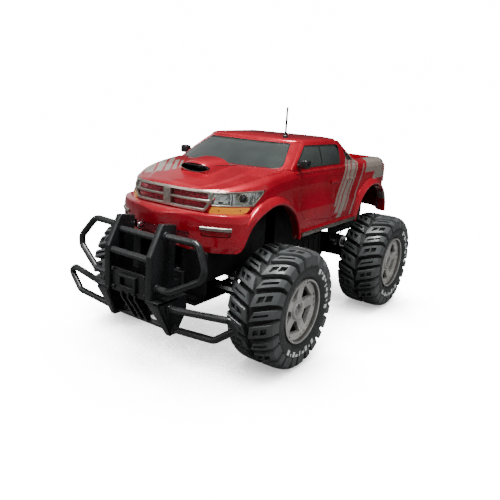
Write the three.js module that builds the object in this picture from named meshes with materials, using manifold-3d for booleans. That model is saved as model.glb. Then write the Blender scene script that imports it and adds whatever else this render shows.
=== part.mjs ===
// A remote control monster truck: a thin moulded pickup body on a tub chassis, two sprung solid axles,
// steered front wheels, a geared rear axle and a tubular bull bar. Millimetres, +Z up, the nose points
// along -Y, and the origin is on the ground under the middle of the truck.

import * as THREE from 'three';
import { mergeVertices } from 'three/addons/utils/BufferGeometryUtils.js';
import Module from 'manifold-3d';

const wasm = await Module();
wasm.setup();

// ---------------------------------------------------------------- driving dimensions

const GAP = 0.35; // air between pieces that touch on the real truck

const TYRE_RADIUS = 75;
const TYRE_WIDTH = 67;
const TRACK = 240; // between the middles of the left and right tyres
const FRONT_AXLE_Y = -109;
const REAR_AXLE_Y = 179;
const AXLE_Z = TYRE_RADIUS;
const RIM_RADIUS = 40.2;
const BEAD_RADIUS = 38.8;
const BARREL_RADIUS = 36;
const HUB_BORE_RADIUS = 3.4;
const STUB_RADIUS = 3;
const WHEEL_SEGMENTS = 20;

const SHELL_WALL = 2.2;
const SILL_Z = 147;
const LEDGE_Z = 191; // top of the bumper and of the lower body sides
const BELT_Z = 236;
const ROOF_EDGE_Z = 266;
const ROOF_MIDDLE_Y = 24;
const ARCH_RADIUS = 57;
const ARCH_Z = 140;
const FLARE_BAND = 10;
const FLARE_X = 106.5;
const BED = { halfWidth: 80, front: 106, back: 238, floor: 200 };

const TUB = { halfWidth: 50, front: -38, back: 114, bottom: 62, top: 116, wall: 2.5 };
const PLATE_Z = [116, 121]; // nose and tail plates of the chassis
const NOSE_Y = -206;
const TAIL_Y = 232;

const KINGPIN_X = 74;
const STEERING_ARM = 20;
const TIE_ROD_Y = FRONT_AXLE_Y - STEERING_ARM;
const HORN_Y = -152; // output shaft of the steering servo
const HORN_TIP_Y = HORN_Y + STEERING_ARM;

const SHOCK_X = 46;
const SHOCK_Y = { front: FRONT_AXLE_Y, rear: 176 };
const SPRING = { bottom: 96.5, top: 145.5, radius: 9.2, wire: 1.1, turns: 5 };

const LINK_PIVOT_Z = 81; // the links lie level at half the suspension travel
const LINKS = { front: { pivot: -50, axle: -95 }, rear: { pivot: 126, axle: 158 } };

const GEAR_MODULE = 1.3;
const GEAR_TEETH = 30;
const PINION_TEETH = 10;
const GEAR_CENTRES = (GEAR_MODULE * (GEAR_TEETH + PINION_TEETH)) / 2;
const MOTOR_RISE = 9;
const MOTOR = {
  y: REAR_AXLE_Y + Math.sqrt(GEAR_CENTRES ** 2 - MOTOR_RISE ** 2),
  z: AXLE_Z + MOTOR_RISE,
};

// ---------------------------------------------------------------- geometry helpers

function fromTriangles(positions, index) {
  let volume = 0;
  const corner = (i) => new THREE.Vector3().fromArray(positions, 3 * index[i]);
  for (let i = 0; i < index.length; i += 3) {
    volume += corner(i).dot(corner(i + 1).cross(corner(i + 2)));
  }
  const faces = Uint32Array.from(index);
  if (volume < 0) {
    for (let i = 0; i < faces.length; i += 3) {
      [faces[i + 1], faces[i + 2]] = [faces[i + 2], faces[i + 1]];
    }
  }
  return new wasm.Manifold(
    new wasm.Mesh({ numProp: 3, vertProperties: Float32Array.from(positions), triVerts: faces }),
  );
}

function toSolid(geometry) {
  const flat = geometry.index ? geometry.toNonIndexed() : geometry;
  const bare = new THREE.BufferGeometry().setAttribute('position', flat.getAttribute('position'));
  const merged = mergeVertices(bare, 1e-4);
  return fromTriangles(merged.attributes.position.array, merged.index.array);
}

function toGeometry(solid) {
  const mesh = solid.getMesh();
  const positions = new Float32Array(mesh.numVert * 3);
  for (let i = 0; i < mesh.numVert; i++) {
    positions.set(mesh.vertProperties.subarray(i * mesh.numProp, i * mesh.numProp + 3), 3 * i);
  }
  const geometry = new THREE.BufferGeometry();
  geometry.setAttribute('position', new THREE.BufferAttribute(positions, 3));
  geometry.setIndex(new THREE.BufferAttribute(mesh.triVerts, 1));
  return geometry;
}

const join = (...solids) => solids.flat().reduce((all, solid) => all.add(solid));
const cut = (solid, ...tools) => tools.flat().reduce((rest, tool) => rest.subtract(tool), solid);

// A copy on the other side of the truck.
function mirrored(solid) {
  const geometry = toGeometry(solid);
  const positions = geometry.getAttribute('position').array;
  for (let i = 0; i < positions.length; i += 3) positions[i] *= -1;
  return fromTriangles(positions, geometry.index.array);
}

const bothSides = (solid) => [solid, mirrored(solid)];

function box([x0, x1], [y0, y1], [z0, z1]) {
  const geometry = new THREE.BoxGeometry(x1 - x0, y1 - y0, z1 - z0);
  geometry.translate((x0 + x1) / 2, (y0 + y1) / 2, (z0 + z1) / 2);
  return toSolid(geometry);
}

// Turns a shape drawn in (u, v) and extruded along w so that w is the named axis:
// (u, v) is (y, z) for x, (z, x) for y and (x, y) for z.
const AXES = {
  x: new THREE.Matrix4().makeBasis(
    new THREE.Vector3(0, 1, 0), new THREE.Vector3(0, 0, 1), new THREE.Vector3(1, 0, 0)),
  y: new THREE.Matrix4().makeBasis(
    new THREE.Vector3(0, 0, 1), new THREE.Vector3(1, 0, 0), new THREE.Vector3(0, 1, 0)),
  z: new THREE.Matrix4(),
};

// Extrudes an outline from one station to another along an axis.
// The outline's points are (y, z) for x, (x, z) for y and (x, y) for z.
function prism(axis, outline, from, to) {
  const points = outline.map(([u, v]) => (axis === 'y' ? new THREE.Vector2(v, u) : new THREE.Vector2(u, v)));
  const geometry = new THREE.ExtrudeGeometry(new THREE.Shape(points), {
    depth: to - from, bevelEnabled: false, steps: 1 });
  geometry.translate(0, 0, from);
  geometry.applyMatrix4(AXES[axis]);
  return toSolid(geometry);
}

function circle(cu, cv, radius, segments = 16, start = 0, end = 2 * Math.PI) {
  const whole = Math.abs(end - start - 2 * Math.PI) < 1e-9;
  const count = whole ? segments : segments + 1;
  return Array.from({ length: count }, (_, i) => {
    const angle = start + ((end - start) * i) / segments;
    return [cu + radius * Math.cos(angle), cv + radius * Math.sin(angle)];
  });
}

// A round bar along an axis. centre is (y, z) for x, (x, z) for y and (x, y) for z.
const bar = (axis, centre, radius, from, to, segments = 14) =>
  prism(axis, circle(centre[0], centre[1], radius, segments), from, to);

// A solid of revolution round the x axis from a closed outline of [x, radius] points.
function turned(outline, segments = WHEEL_SEGMENTS) {
  const points = outline.map(([x, radius]) => new THREE.Vector2(radius, x));
  const geometry = new THREE.LatheGeometry([...points, points[0]], segments);
  geometry.rotateZ(-Math.PI / 2);
  return toSolid(geometry);
}

// A tube along a path of straight runs joined by round bends.
function tube(corners, radius, bend, steps, sides = 6) {
  const path = new THREE.CurvePath();
  const points = corners.map((p) => new THREE.Vector3(...p));
  let start = points[0];
  for (let i = 1; i < points.length - 1; i++) {
    const before = points[i].clone().add(points[i - 1].clone().sub(points[i]).setLength(bend));
    const after = points[i].clone().add(points[i + 1].clone().sub(points[i]).setLength(bend));
    path.add(new THREE.LineCurve3(start, before));
    path.add(new THREE.QuadraticBezierCurve3(before, points[i], after));
    start = after;
  }
  path.add(new THREE.LineCurve3(start, points.at(-1)));
  const section = new THREE.Shape(circle(0, 0, radius, sides).map(([u, v]) => new THREE.Vector2(u, v)));
  return toSolid(new THREE.ExtrudeGeometry(section, { steps, extrudePath: path, bevelEnabled: false }));
}

// Skins a row of rings of [x, y, z] points, and closes both ends with a fan.
function loft(rings) {
  const count = rings[0].length;
  const positions = rings.flat(2);
  const index = [];
  for (let i = 0; i + 1 < rings.length; i++) {
    for (let j = 0; j < count; j++) {
      const a = i * count + j;
      const b = i * count + ((j + 1) % count);
      index.push(a, b, b + count, a, b + count, a + count);
    }
  }
  for (const [ring, first] of [[rings[0], 0], [rings.at(-1), (rings.length - 1) * count]]) {
    const middle = positions.length / 3;
    for (let k = 0; k < 3; k++) positions.push(ring.reduce((sum, p) => sum + p[k], 0) / count);
    for (let j = 0; j < count; j++) {
      const pair = [first + j, first + ((j + 1) % count)];
      index.push(middle, ...(first === 0 ? pair.reverse() : pair));
    }
  }
  return fromTriangles(positions, index);
}

// A smooth curve through [at, value] points that never swings past them.
function curve(points) {
  const slope = (i) => (points[i + 1][1] - points[i][1]) / (points[i + 1][0] - points[i][0]);
  const tangent = (i) => {
    if (i === 0) return slope(0);
    if (i === points.length - 1) return slope(i - 1);
    const [a, b] = [slope(i - 1), slope(i)];
    return a * b <= 0 ? 0 : (2 * a * b) / (a + b);
  };
  return (at) => {
    const last = points.length - 1;
    if (at <= points[0][0]) return points[0][1];
    if (at >= points[last][0]) return points[last][1];
    const i = points.findIndex((p, k) => k < last && at < points[k + 1][0]);
    const width = points[i + 1][0] - points[i][0];
    const t = (at - points[i][0]) / width;
    return (
      (2 * t ** 3 - 3 * t ** 2 + 1) * points[i][1] +
      (t ** 3 - 2 * t ** 2 + t) * width * tangent(i) +
      (3 * t ** 2 - 2 * t ** 3) * points[i + 1][1] +
      (t ** 3 - t ** 2) * width * tangent(i + 1)
    );
  };
}

// Moves each edge of a convex outline inwards.
function shrunk(outline, distance) {
  const count = outline.length;
  const area = outline.reduce((sum, [u, v], i) => {
    const [p, q] = outline[(i + 1) % count];
    return sum + u * q - p * v;
  }, 0);
  const turn = Math.sign(area);
  const edge = (i) => {
    const [u, v] = outline[i];
    const [p, q] = outline[(i + 1) % count];
    const length = Math.hypot(p - u, q - v);
    return { n: [(-turn * (q - v)) / length, (turn * (p - u)) / length], from: [u, v] };
  };
  return outline.map((_, i) => {
    const a = edge((i + count - 1) % count);
    const b = edge(i);
    const da = a.n[0] * a.from[0] + a.n[1] * a.from[1] + distance;
    const db = b.n[0] * b.from[0] + b.n[1] * b.from[1] + distance;
    const det = a.n[0] * b.n[1] - a.n[1] * b.n[0];
    return [(da * b.n[1] - db * a.n[1]) / det, (a.n[0] * db - b.n[0] * da) / det];
  });
}

// ---------------------------------------------------------------- body shell

// Half widths of the body along its length: the bumper and lower sides, and the bonnet and upper sides.
const lowerHalfWidth = curve([
  [-207, 12], [-206, 24], [-204, 36], [-200, 50], [-194, 64], [-187, 76], [-178, 88], [-167, 96.5],
  [-150, 100], [-100, 100.5], [215, 100.5], [232, 98], [242, 92], [248, 84], [250, 76]]);
const upperHalfWidth = curve([
  [-189, 24], [-188, 40], [-185, 54], [-180, 65], [-172, 75], [-162, 83], [-150, 90], [-138, 95],
  [-120, 97.5], [-90, 98], [218, 98], [232, 95.5], [241, 90], [246, 82], [248, 74]]);
const crestHeight = curve([
  [-189, 214], [-172, 217], [-150, 221.5], [-125, 228], [-100, 232.5], [-75, 235.5], [0, 237],
  [200, 238], [232, 237], [248, 231]]);
const bonnetHeight = curve([
  [-189, 216], [-172, 220], [-150, 225.5], [-125, 231.5], [-100, 236], [-75, 239], [248, 239]]);

const LOWER_STATIONS = [-207, -205.5, -201, -193, -181, -167, -150, 215, 235, 246, 250];
const UPPER_STATIONS = [-189, -187.5, -183, -174, -162, -148, -134, -112, -85, 218, 235, 244, 248];

// Moves the ends of a row of stations inwards by the inset, and the rest in proportion.
function insetStation(stations, y, inset) {
  const share = (y - stations[0]) / (stations.at(-1) - stations[0]);
  return y + inset * (1 - 2 * share);
}

// A closed ring across the truck from half a section, given from the bottom edge up to the middle.
const acrossRing = (half, y) => [
  ...half.map(([x, z]) => [x, y, z]),
  ...half.toReversed().filter(([x]) => x > 0).map(([x, z]) => [-x, y, z]),
];

function lowerBody(inset) {
  const bottom = inset > 0 ? SILL_Z - 5 : SILL_Z;
  return loft(LOWER_STATIONS.map((y) => {
    const w = lowerHalfWidth(y) - inset;
    const half = [
      [w - 3.5, bottom], [w, SILL_Z + 10], [w, 183 - inset], [w - 2.5, LEDGE_Z - inset],
      [0, LEDGE_Z - inset]];
    return acrossRing(half, insetStation(LOWER_STATIONS, y, inset));
  }));
}

function upperBody(inset) {
  return loft(UPPER_STATIONS.map((y) => {
    const w = upperHalfWidth(y) - inset;
    const crest = crestHeight(y) - inset;
    const middle = bonnetHeight(y) - inset;
    const half = [
      [w, LEDGE_Z - 12], [w, crest - 20], [w - 0.8, crest - 11], [w - 4, crest - 3.5], [w - 11, crest],
      [w * 0.5, (crest + 2 * middle) / 3], [0, middle]];
    return acrossRing(half, insetStation(UPPER_STATIONS, y, inset));
  }));
}

// Half of the cab's plan, from the middle of the windscreen to the middle of the rear wall.
const CAB_BASE = [
  [0, -92], [42, -88.5], [70, -81], [84, -74], [90, -66], [93, -55], [93.5, 20], [92.5, 88], [88, 96],
  [60, 99], [0, 100]];
const CAB_TOP = [
  [0, -34], [36, -32.5], [58, -29.5], [68, -26], [75, -21], [79.5, -13], [81, 20], [79.5, 70], [74, 78],
  [50, 81], [0, 82]];
// [height over the roof edge, distance inwards, share of the way to the roof's middle]
const ROOF_RINGS = [[3.5, 4, 0], [6, 8, 0.1], [7.5, 8, 0.45]];

function cabRing(share, z, inset) {
  const half = CAB_BASE.map(([x, y], i) => [
    x + (CAB_TOP[i][0] - x) * share, y + (CAB_TOP[i][1] - y) * share]);
  const moved = half.map(([x, y], i) => {
    const before = half[Math.max(i - 1, 0)];
    const after = half[Math.min(i + 1, half.length - 1)];
    const along = [after[0] - before[0], after[1] - before[1]];
    const length = Math.hypot(...along);
    const onMiddle = i === 0 || i === half.length - 1;
    const nx = onMiddle ? 0 : along[1] / length;
    const ny = i === 0 ? -1 : i === half.length - 1 ? 1 : -along[0] / length;
    return [x - inset * nx, y - inset * ny];
  });
  return [
    ...moved.map(([x, y]) => [x, y, z]),
    ...moved.slice(1, -1).toReversed().map(([x, y]) => [-x, y, z]),
  ];
}

function cab(inset) {
  const bottom = inset > 0 ? 195 : BELT_Z - 10;
  return loft([
    cabRing(0, bottom, inset),
    cabRing(0, BELT_Z, inset),
    cabRing(1, ROOF_EDGE_Z - inset * 0.5, inset),
    ...ROOF_RINGS.map(([rise, inwards, middle]) =>
      cabRing(1, ROOF_EDGE_Z + rise - inset, inset + inwards)
        .map(([x, y, z]) => [x * (1 - middle), y + (ROOF_MIDDLE_Y - y) * middle, z])),
  ]);
}

// Windows are cut straight through: the side ones along x, the windscreen and rear one along y.
const SIDE_WINDOW = [[-58, 237], [-20, 261.5], [-13, 263.5], [68, 262.7], [73.5, 259.5], [67, 237]];
const WINDSCREEN = [[-83, 237], [-66, 262.8], [-61, 264.6], [61, 264.6], [66, 262.8], [83, 237]];
const REAR_WINDOW = [[-68, 243], [-64, 260], [-60, 262], [60, 262], [64, 260], [68, 243]];
const SIDE_REACH = [70, 100];
const WINDSCREEN_REACH = [-100, -20];
const REAR_REACH = [75, 105];

// Tapered panels from the cab's rear corners down to the bed rails.
function sailPanel() {
  const ring = (x0, x1, y0, y1, z) => [[x0, y0, z], [x1, y0, z], [x1, y1, z], [x0, y1, z]];
  return loft([
    ring(83, 92.5, 70, 128, BELT_Z - 4), ring(82.5, 92, 70, 123, BELT_Z + 3),
    ring(72, 80.5, 62, 76, ROOF_EDGE_Z + 1)]);
}

function wheelArch(axleY) {
  const outline = [
    ...circle(axleY, ARCH_Z, ARCH_RADIUS, 14, 0, Math.PI),
    [axleY - ARCH_RADIUS, SILL_Z - 12], [axleY + ARCH_RADIUS, SILL_Z - 12]];
  return prism('x', outline, 66, FLARE_X + 5);
}

function archFlare(axleY) {
  const start = Math.asin((SILL_Z - ARCH_Z) / (ARCH_RADIUS + FLARE_BAND));
  const outer = circle(axleY, ARCH_Z, ARCH_RADIUS + FLARE_BAND, 14, start, Math.PI - start);
  const inner = circle(axleY, ARCH_Z, ARCH_RADIUS, 14, start, Math.PI - start);
  return prism('x', [...outer, ...inner.toReversed()], 94, FLARE_X);
}

const SCOOP = { mouth: -143, halfWidth: 21, bottom: 227.5, top: 239.5 };

function scoopRing(y, halfWidth, top) {
  const arch = circle(0, 0, 1, 8, 0, Math.PI).map(([u, v]) => [u * halfWidth, y, 225 + v * (top - 225)]);
  return arch;
}

function bonnetScoop() {
  const bulge = loft([
    scoopRing(SCOOP.mouth, SCOOP.halfWidth + 3, SCOOP.top), scoopRing(-125, 27, 243.5),
    scoopRing(-105, 33, 245), scoopRing(-88, 38, 243.5), scoopRing(-76, 42, 240)]);
  const mouth = prism('y', circle(0, 0, 1, 14).map(([u, v]) => [
    u * (SCOOP.halfWidth - 2), (SCOOP.top + SCOOP.bottom) / 2 + v * 4.6]), -150, -124);
  return { bulge, mouth };
}

const MIRROR = { inner: 92.5, middleY: -49, middleZ: 242.5 };

function bodyShell() {
  const scoop = bonnetScoop();
  const bed = (grow) => box(
    [-BED.halfWidth - grow, BED.halfWidth + grow], [BED.front - grow, BED.back + grow],
    [BED.floor - grow, 290]);
  const outside = cut(
    join(lowerBody(0), upperBody(0), cab(0), scoop.bulge, bothSides(sailPanel())), bed(0));
  const hollow = cut(
    join(lowerBody(SHELL_WALL), upperBody(SHELL_WALL), cab(SHELL_WALL)), bed(SHELL_WALL),
    box([-60, 60], [REAR_AXLE_Y + 68, 260], [SILL_Z - 10, LEDGE_Z]));
  const openings = [
    scoop.mouth,
    prism('y', WINDSCREEN, ...WINDSCREEN_REACH),
    prism('y', REAR_WINDOW, ...REAR_REACH),
    ...bothSides(prism('x', SIDE_WINDOW, ...SIDE_REACH)),
    ...[FRONT_AXLE_Y, REAR_AXLE_Y].flatMap((y) => bothSides(wheelArch(y)))];
  const rocker = prism('z', [
    [97, FRONT_AXLE_Y + 58], [103, FRONT_AXLE_Y + 62], [103, REAR_AXLE_Y - 62], [97, REAR_AXLE_Y - 58]],
  SILL_Z, SILL_Z + 9);
  const flares = [FRONT_AXLE_Y, REAR_AXLE_Y].flatMap((y) => bothSides(archFlare(y)));
  return join(cut(outside, hollow, openings), flares, bothSides(rocker));
}

// A pane lies in its opening, just under the outer surface.
function pane(axis, outline, reach) {
  return cab(0.6).subtract(cab(2.6)).intersect(prism(axis, shrunk(outline, GAP), ...reach));
}

// A trim layer that lies on the outside of the bonnet and nose.
const noseLayer = (thickness) => upperBody(-thickness).subtract(upperBody(-GAP));

const GRILLE_OUTLINE = [[-60.5, 215.5], [-61.5, 205], [-54, 192.3], [54, 192.3], [61.5, 205], [60.5, 215.5]];

function grille() {
  const holes = [[199, 203], [207, 211.5]].flatMap(([low, high]) => {
    const reach = low < 203 ? 54.5 : 57.5;
    return bothSides(prism('y', [[6, low], [reach - 1, low], [reach + 1, high], [6, high]], -200, -165));
  });
  const lowerHoles = bothSides(prism('y', [[6, 195.2], [52, 195.2], [53.5, 197.4], [6, 197.4]], -200, -165));
  return cut(noseLayer(2.6).intersect(prism('y', GRILLE_OUTLINE, -200, -165)), holes, lowerHoles);
}

function headlight() {
  const front = prism('y', [[61, 214.5], [62.5, 205.5], [57, 195.5], [99, 195.5], [99, 216.5]], -200, -120);
  const side = prism('x', [[-200, 195], [-200, 220], [-129, 220], [-133, 214.5], [-150, 195]], 50, 100.6);
  return noseLayer(1.9).intersect(front).intersect(side);
}

function tailLight() {
  const layer = upperBody(-1.8).subtract(upperBody(-GAP));
  return layer.intersect(box([81, 101], [232.5, 251], [196, 228]));
}

function mirror() {
  const ring = (halfDepth, inner, outer, z) => [
    [inner, MIRROR.middleY - halfDepth, z], [outer, MIRROR.middleY - halfDepth + 1, z],
    [outer, MIRROR.middleY + halfDepth - 1, z], [inner, MIRROR.middleY + halfDepth, z]];
  const housing = loft([
    ring(4.8, MIRROR.inner + 3.5, 106.8, MIRROR.middleZ - 5.5), ring(6, MIRROR.inner + 3, 107.5, MIRROR.middleZ),
    ring(4.8, MIRROR.inner + 3.5, 106.3, MIRROR.middleZ + 5.8)]);
  const stalk = box(
    [MIRROR.inner, MIRROR.inner + 5], [MIRROR.middleY - 2.5, MIRROR.middleY + 2.5],
    [MIRROR.middleZ - 4, MIRROR.middleZ + 0.5]);
  return housing.add(stalk);
}

const ANTENNA = { x: 50, y: -18, foot: 272.6, top: 311 };

function antenna() {
  const base = loft([
    circle(ANTENNA.x, ANTENNA.y, 4, 12).map(([x, y]) => [x, y, ANTENNA.foot]),
    circle(ANTENNA.x, ANTENNA.y, 2.2, 12).map(([x, y]) => [x, y, ANTENNA.foot + 3])]);
  return base.add(bar('z', [ANTENNA.x, ANTENNA.y], 1.3, ANTENNA.foot + 2, ANTENNA.top, 10));
}

const scoopInsert = () => prism('y', circle(0, 0, 1, 14).map(([u, v]) => [
  u * (SCOOP.halfWidth - 2 - GAP), (SCOOP.top + SCOOP.bottom) / 2 + v * (4.6 - GAP)]), -133, -130);

// ---------------------------------------------------------------- bull bar

const UPRIGHT_X = [31, 37.5];
const WEDGE_X = [43, 50];
const LOOP_RADIUS = 4;
const UPPER_LOOP = [
  [38.1, -231, 167.5], [83, -228, 167.5], [100, -236, 143], [97, -238, 132], [60, -246, 111.5],
  [38.1, -244, 110]];
const LOWER_LOOP = [
  [50.9, -236, 87], [128, -226, 93], [138, -225, 86], [112, -231, 67], [50.9, -228, 60]];

function bullBarFrame() {
  const upright = prism('x', [
    [-213, 178], [-234, 181], [-252.5, 147], [-253.5, 98], [-236, 94], [-216, 94], [-206.5, 92],
    [-206.5, 112], [-216, 114]], ...UPRIGHT_X);
  const wedge = prism('x', [
    [-254, 98], [-254, 94], [-234, 53], [-222, 53], [-206.5, 76], [-206.5, 98]], ...WEDGE_X);
  const ledge = box([30, 50], [-254, -222], [94, 98]);
  const crossBars = [
    bar('x', [-234, 164], LOOP_RADIUS, -31.5, 31.5, 10), bar('x', [-247.5, 142], LOOP_RADIUS, -31.5, 31.5, 10)];
  const winchPlate = box([-32, 32], [-250, -246], [94, 123]);
  const winchBoss = cut(box([-14, 14], [-254, -248], [98.5, 118]), box([-10.5, 10.5], [-256, -250.8], [105, 115]));
  const lowerBar = bar('x', [-226, 58], 3.5, -43.5, 43.5, 10);
  const ribs = [-11, 0, 11].map((x) =>
    prism('x', [[-252, 97], [-252, 91], [-231, 58], [-225, 60], [-240, 97]], x - 1.6, x + 1.6));
  return join(
    bothSides(upright), bothSides(wedge), bothSides(ledge), crossBars, winchPlate, winchBoss, lowerBar, ribs);
}

// ---------------------------------------------------------------- chassis

const BATTERY_BAY = { x: 27, front: 8, back: 102 };
const SWITCH = { y: -24, halfSlot: 8, halfDepth: 3 };
const POSTS = [[30, -150, 218], [34, 215, 197]];
const TOWER_TOP = 160;

function chassisTub() {
  const { halfWidth: w, front, back, bottom, top, wall } = TUB;
  const tub = cut(
    box([-w, w], [front, back], [bottom, top]),
    box([-w + wall, w - wall], [front + wall, back - wall], [bottom + wall, top + 1]),
    box([-BATTERY_BAY.x, BATTERY_BAY.x], [BATTERY_BAY.front, BATTERY_BAY.back], [bottom - 1, bottom + wall + 1]),
    box([-SWITCH.halfSlot, SWITCH.halfSlot], [SWITCH.y - SWITCH.halfDepth, SWITCH.y + SWITCH.halfDepth],
      [bottom - 1, bottom + wall + 1]));
  const nosePlate = box([-34, 34], [NOSE_Y, front + wall], PLATE_Z);
  const tailPlate = box([-34, 34], [back - wall, TAIL_Y], PLATE_Z);
  const nose = box([-40, 40], [NOSE_Y, NOSE_Y + 5], [70, PLATE_Z[1]]);
  const gussets = bothSides(prism('x', [[NOSE_Y + 4, 116.5], [NOSE_Y + 4, 88], [NOSE_Y + 22, 116.5]], 28, 32));
  const lugs = ['front', 'rear'].flatMap((end) => {
    const [face, pivot] = end === 'front' ? [front + 1, LINKS.front.pivot] : [back - 1, LINKS.rear.pivot];
    return [-29, 24].map((x) => prism('x', [
      [face, LINK_PIVOT_Z - 7], [pivot, LINK_PIVOT_Z - 5], [pivot + (pivot - face) * 0.4, LINK_PIVOT_Z],
      [pivot, LINK_PIVOT_Z + 5], [face, LINK_PIVOT_Z + 9]], x, x + 5));
  });
  const pins = [LINKS.front.pivot, LINKS.rear.pivot].map((y) => bar('x', [y, LINK_PIVOT_Z], 1.8, -28, 28, 10));
  return join(tub, nosePlate, tailPlate, nose, gussets, lugs, pins);
}

// A tower carries the upper ends of one axle's two shock absorbers and two posts that hold the body.
function shockTower(shockY, [postX, postY, postTop]) {
  const foot = box([-30, 30], [shockY - 14, shockY + 14], [PLATE_Z[1] + GAP, PLATE_Z[1] + 4]);
  const web = box([-24, 24], [shockY - 3, shockY + 3], [PLATE_Z[1] + 3, 152]);
  const beam = box([-SHOCK_X, SHOCK_X], [shockY - 5, shockY + 5], [149, 155]);
  const reach = Math.sign(postY - shockY);
  const [near, far] = [shockY + reach * 12, postY + reach * 4].sort((a, b) => a - b);
  const arm = box([-postX - 3, postX + 3], [near, far], [PLATE_Z[1] + GAP, PLATE_Z[1] + 4]);
  const posts = bothSides(bar('z', [postX, postY], 4, PLATE_Z[1] + 2, postTop, 10));
  const cans = bothSides(join(
    bar('z', [SHOCK_X, shockY], 6.4, 128, TOWER_TOP, 12), bar('z', [SHOCK_X, shockY], 10.5, 146, 149.5, 12)));
  const bores = bothSides(bar('z', [SHOCK_X, shockY], 2.6, 120, 154, 10));
  return cut(join(foot, web, beam, arm, posts, cans), bores);
}

function batteryDoor() {
  const { x, front, back } = BATTERY_BAY;
  const panel = box([-x + GAP, x - GAP], [front + GAP, back - GAP], [TUB.bottom, TUB.bottom + TUB.wall]);
  const grip = box([x - 8, x - 4], [48, 62], [TUB.bottom - 2, TUB.bottom + 1]);
  const ribs = [22, 30, 76, 84].map((d) => box([-18, 14], [front + d - 10, front + d - 7],
    [TUB.bottom - 1, TUB.bottom + 1]));
  return join(panel, grip, ribs);
}

function batteryPack() {
  const { x, front, back } = BATTERY_BAY;
  const cells = [-1, 0, 1].map((i) => bar('y', [i * 15.5, 76], 8.2, front + 6, back - 6, 10));
  return join(cells, box([-x + 5, x - 5], [front + 12, back - 12], [69, 83]));
}

function receiverBoard() {
  const board = box([-32, 32], [-26, 60], [96, 98]);
  const chips = [
    box([-20, -4], [-15, 5], [97.5, 101]), box([6, 24], [-12, 2], [97.5, 103]), box([-24, -12], [22, 48], [97.5, 106])];
  return join(board, chips, bar('z', [14, 34], 6, 97.5, 108, 12));
}

function powerSwitch() {
  const knob = box([-6.5, 0.5], [SWITCH.y - 2.4, SWITCH.y + 2.4], [TUB.bottom - 2.5, TUB.bottom + 3]);
  return knob.add(box([-7, 1], [SWITCH.y - 5, SWITCH.y + 5], [TUB.bottom + TUB.wall + GAP, TUB.bottom + 5]));
}

// ---------------------------------------------------------------- suspension

// A coil spring round a vertical axis.
class Helix extends THREE.Curve {
  constructor(x, y) {
    super();
    this.foot = [x, y];
  }

  getPoint(t, target = new THREE.Vector3()) {
    const angle = 2 * Math.PI * SPRING.turns * t;
    const [low, high] = [SPRING.bottom + SPRING.wire + GAP, SPRING.top - SPRING.wire - GAP];
    return target.set(
      this.foot[0] + SPRING.radius * Math.cos(angle), this.foot[1] + SPRING.radius * Math.sin(angle),
      low + (high - low) * t);
  }
}

function coilSpring(x, y) {
  const section = new THREE.Shape(circle(0, 0, SPRING.wire, 4).map(([u, v]) => new THREE.Vector2(u, v)));
  return toSolid(new THREE.ExtrudeGeometry(section, {
    steps: SPRING.turns * 9, extrudePath: new Helix(x, y), bevelEnabled: false }));
}

const shockRod = (x, y) => join(
  bar('z', [x, y], 2, 84.5, 141, 10), bar('z', [x, y], 10.3, 93, SPRING.bottom, 12),
  bar('z', [x, y], 4, 84.5, 94, 10));

// A link frame of two arms and two cross tubes, which swings on the chassis and holds the axle fore and aft.
function suspensionLink({ pivot, axle }) {
  const side = Math.sign(axle - pivot);
  const arm = join(
    prism('x', [
      [pivot, LINK_PIVOT_Z - 3.4], [axle, AXLE_Z - 3.4], [axle, AXLE_Z + 3.4], [pivot, LINK_PIVOT_Z + 3.4]],
    16, 22),
    bar('x', [pivot, LINK_PIVOT_Z], 4.4, 16, 22), bar('x', [axle, AXLE_Z], 4.4, 16, 22));
  const brace = prism('x', [
    [pivot + side * 10, LINK_PIVOT_Z - 3.4], [pivot + side * 15, LINK_PIVOT_Z - 4],
    [pivot + side * 15, LINK_PIVOT_Z + 1], [pivot + side * 10, LINK_PIVOT_Z + 1.6]], -17, 17);
  const holes = [
    bar('x', [pivot, LINK_PIVOT_Z], 2.2, -30, 30, 12), bar('x', [axle, AXLE_Z], 2.35, -30, 30, 12)];
  return cut(join(bothSides(arm), brace), holes);
}

// ---------------------------------------------------------------- front axle

function frontAxleBeam() {
  const y = FRONT_AXLE_Y;
  const beam = bar('x', [y, AXLE_Z], 7.5, -62, 62, 14);
  const yoke = (x0) => cut(
    join(
      box([x0, 66], [y - 8, y + 8], [57, 93]), box([62, 81], [y - 7, y + 7], [57, 62]),
      box([62, 81], [y - 7, y + 7], [88, 93])),
    bar('z', [KINGPIN_X, y], 3.5, 50, 100, 12));
  const pads = bothSides(box([SHOCK_X - 5, SHOCK_X + 5], [y - 5, y + 5], [AXLE_Z, 84]));
  const tray = join(box([-26, 26], [HORN_Y - 13, y], [63, 67]), box([-26, 26], [y - 6, y + 6], [63, 72]));
  const tabs = [-26.5, 23].map((x) => prism('x', [
    [y, AXLE_Z - 6], [LINKS.front.axle + 3, AXLE_Z - 3.5], [LINKS.front.axle + 3, AXLE_Z + 3.5],
    [y, AXLE_Z + 6]], x, x + 3.5));
  const pin = bar('x', [LINKS.front.axle, AXLE_Z], 1.5, -24, 24, 10);
  return join(beam, bothSides(yoke(60)), pads, tray, tabs, pin);
}

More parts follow.
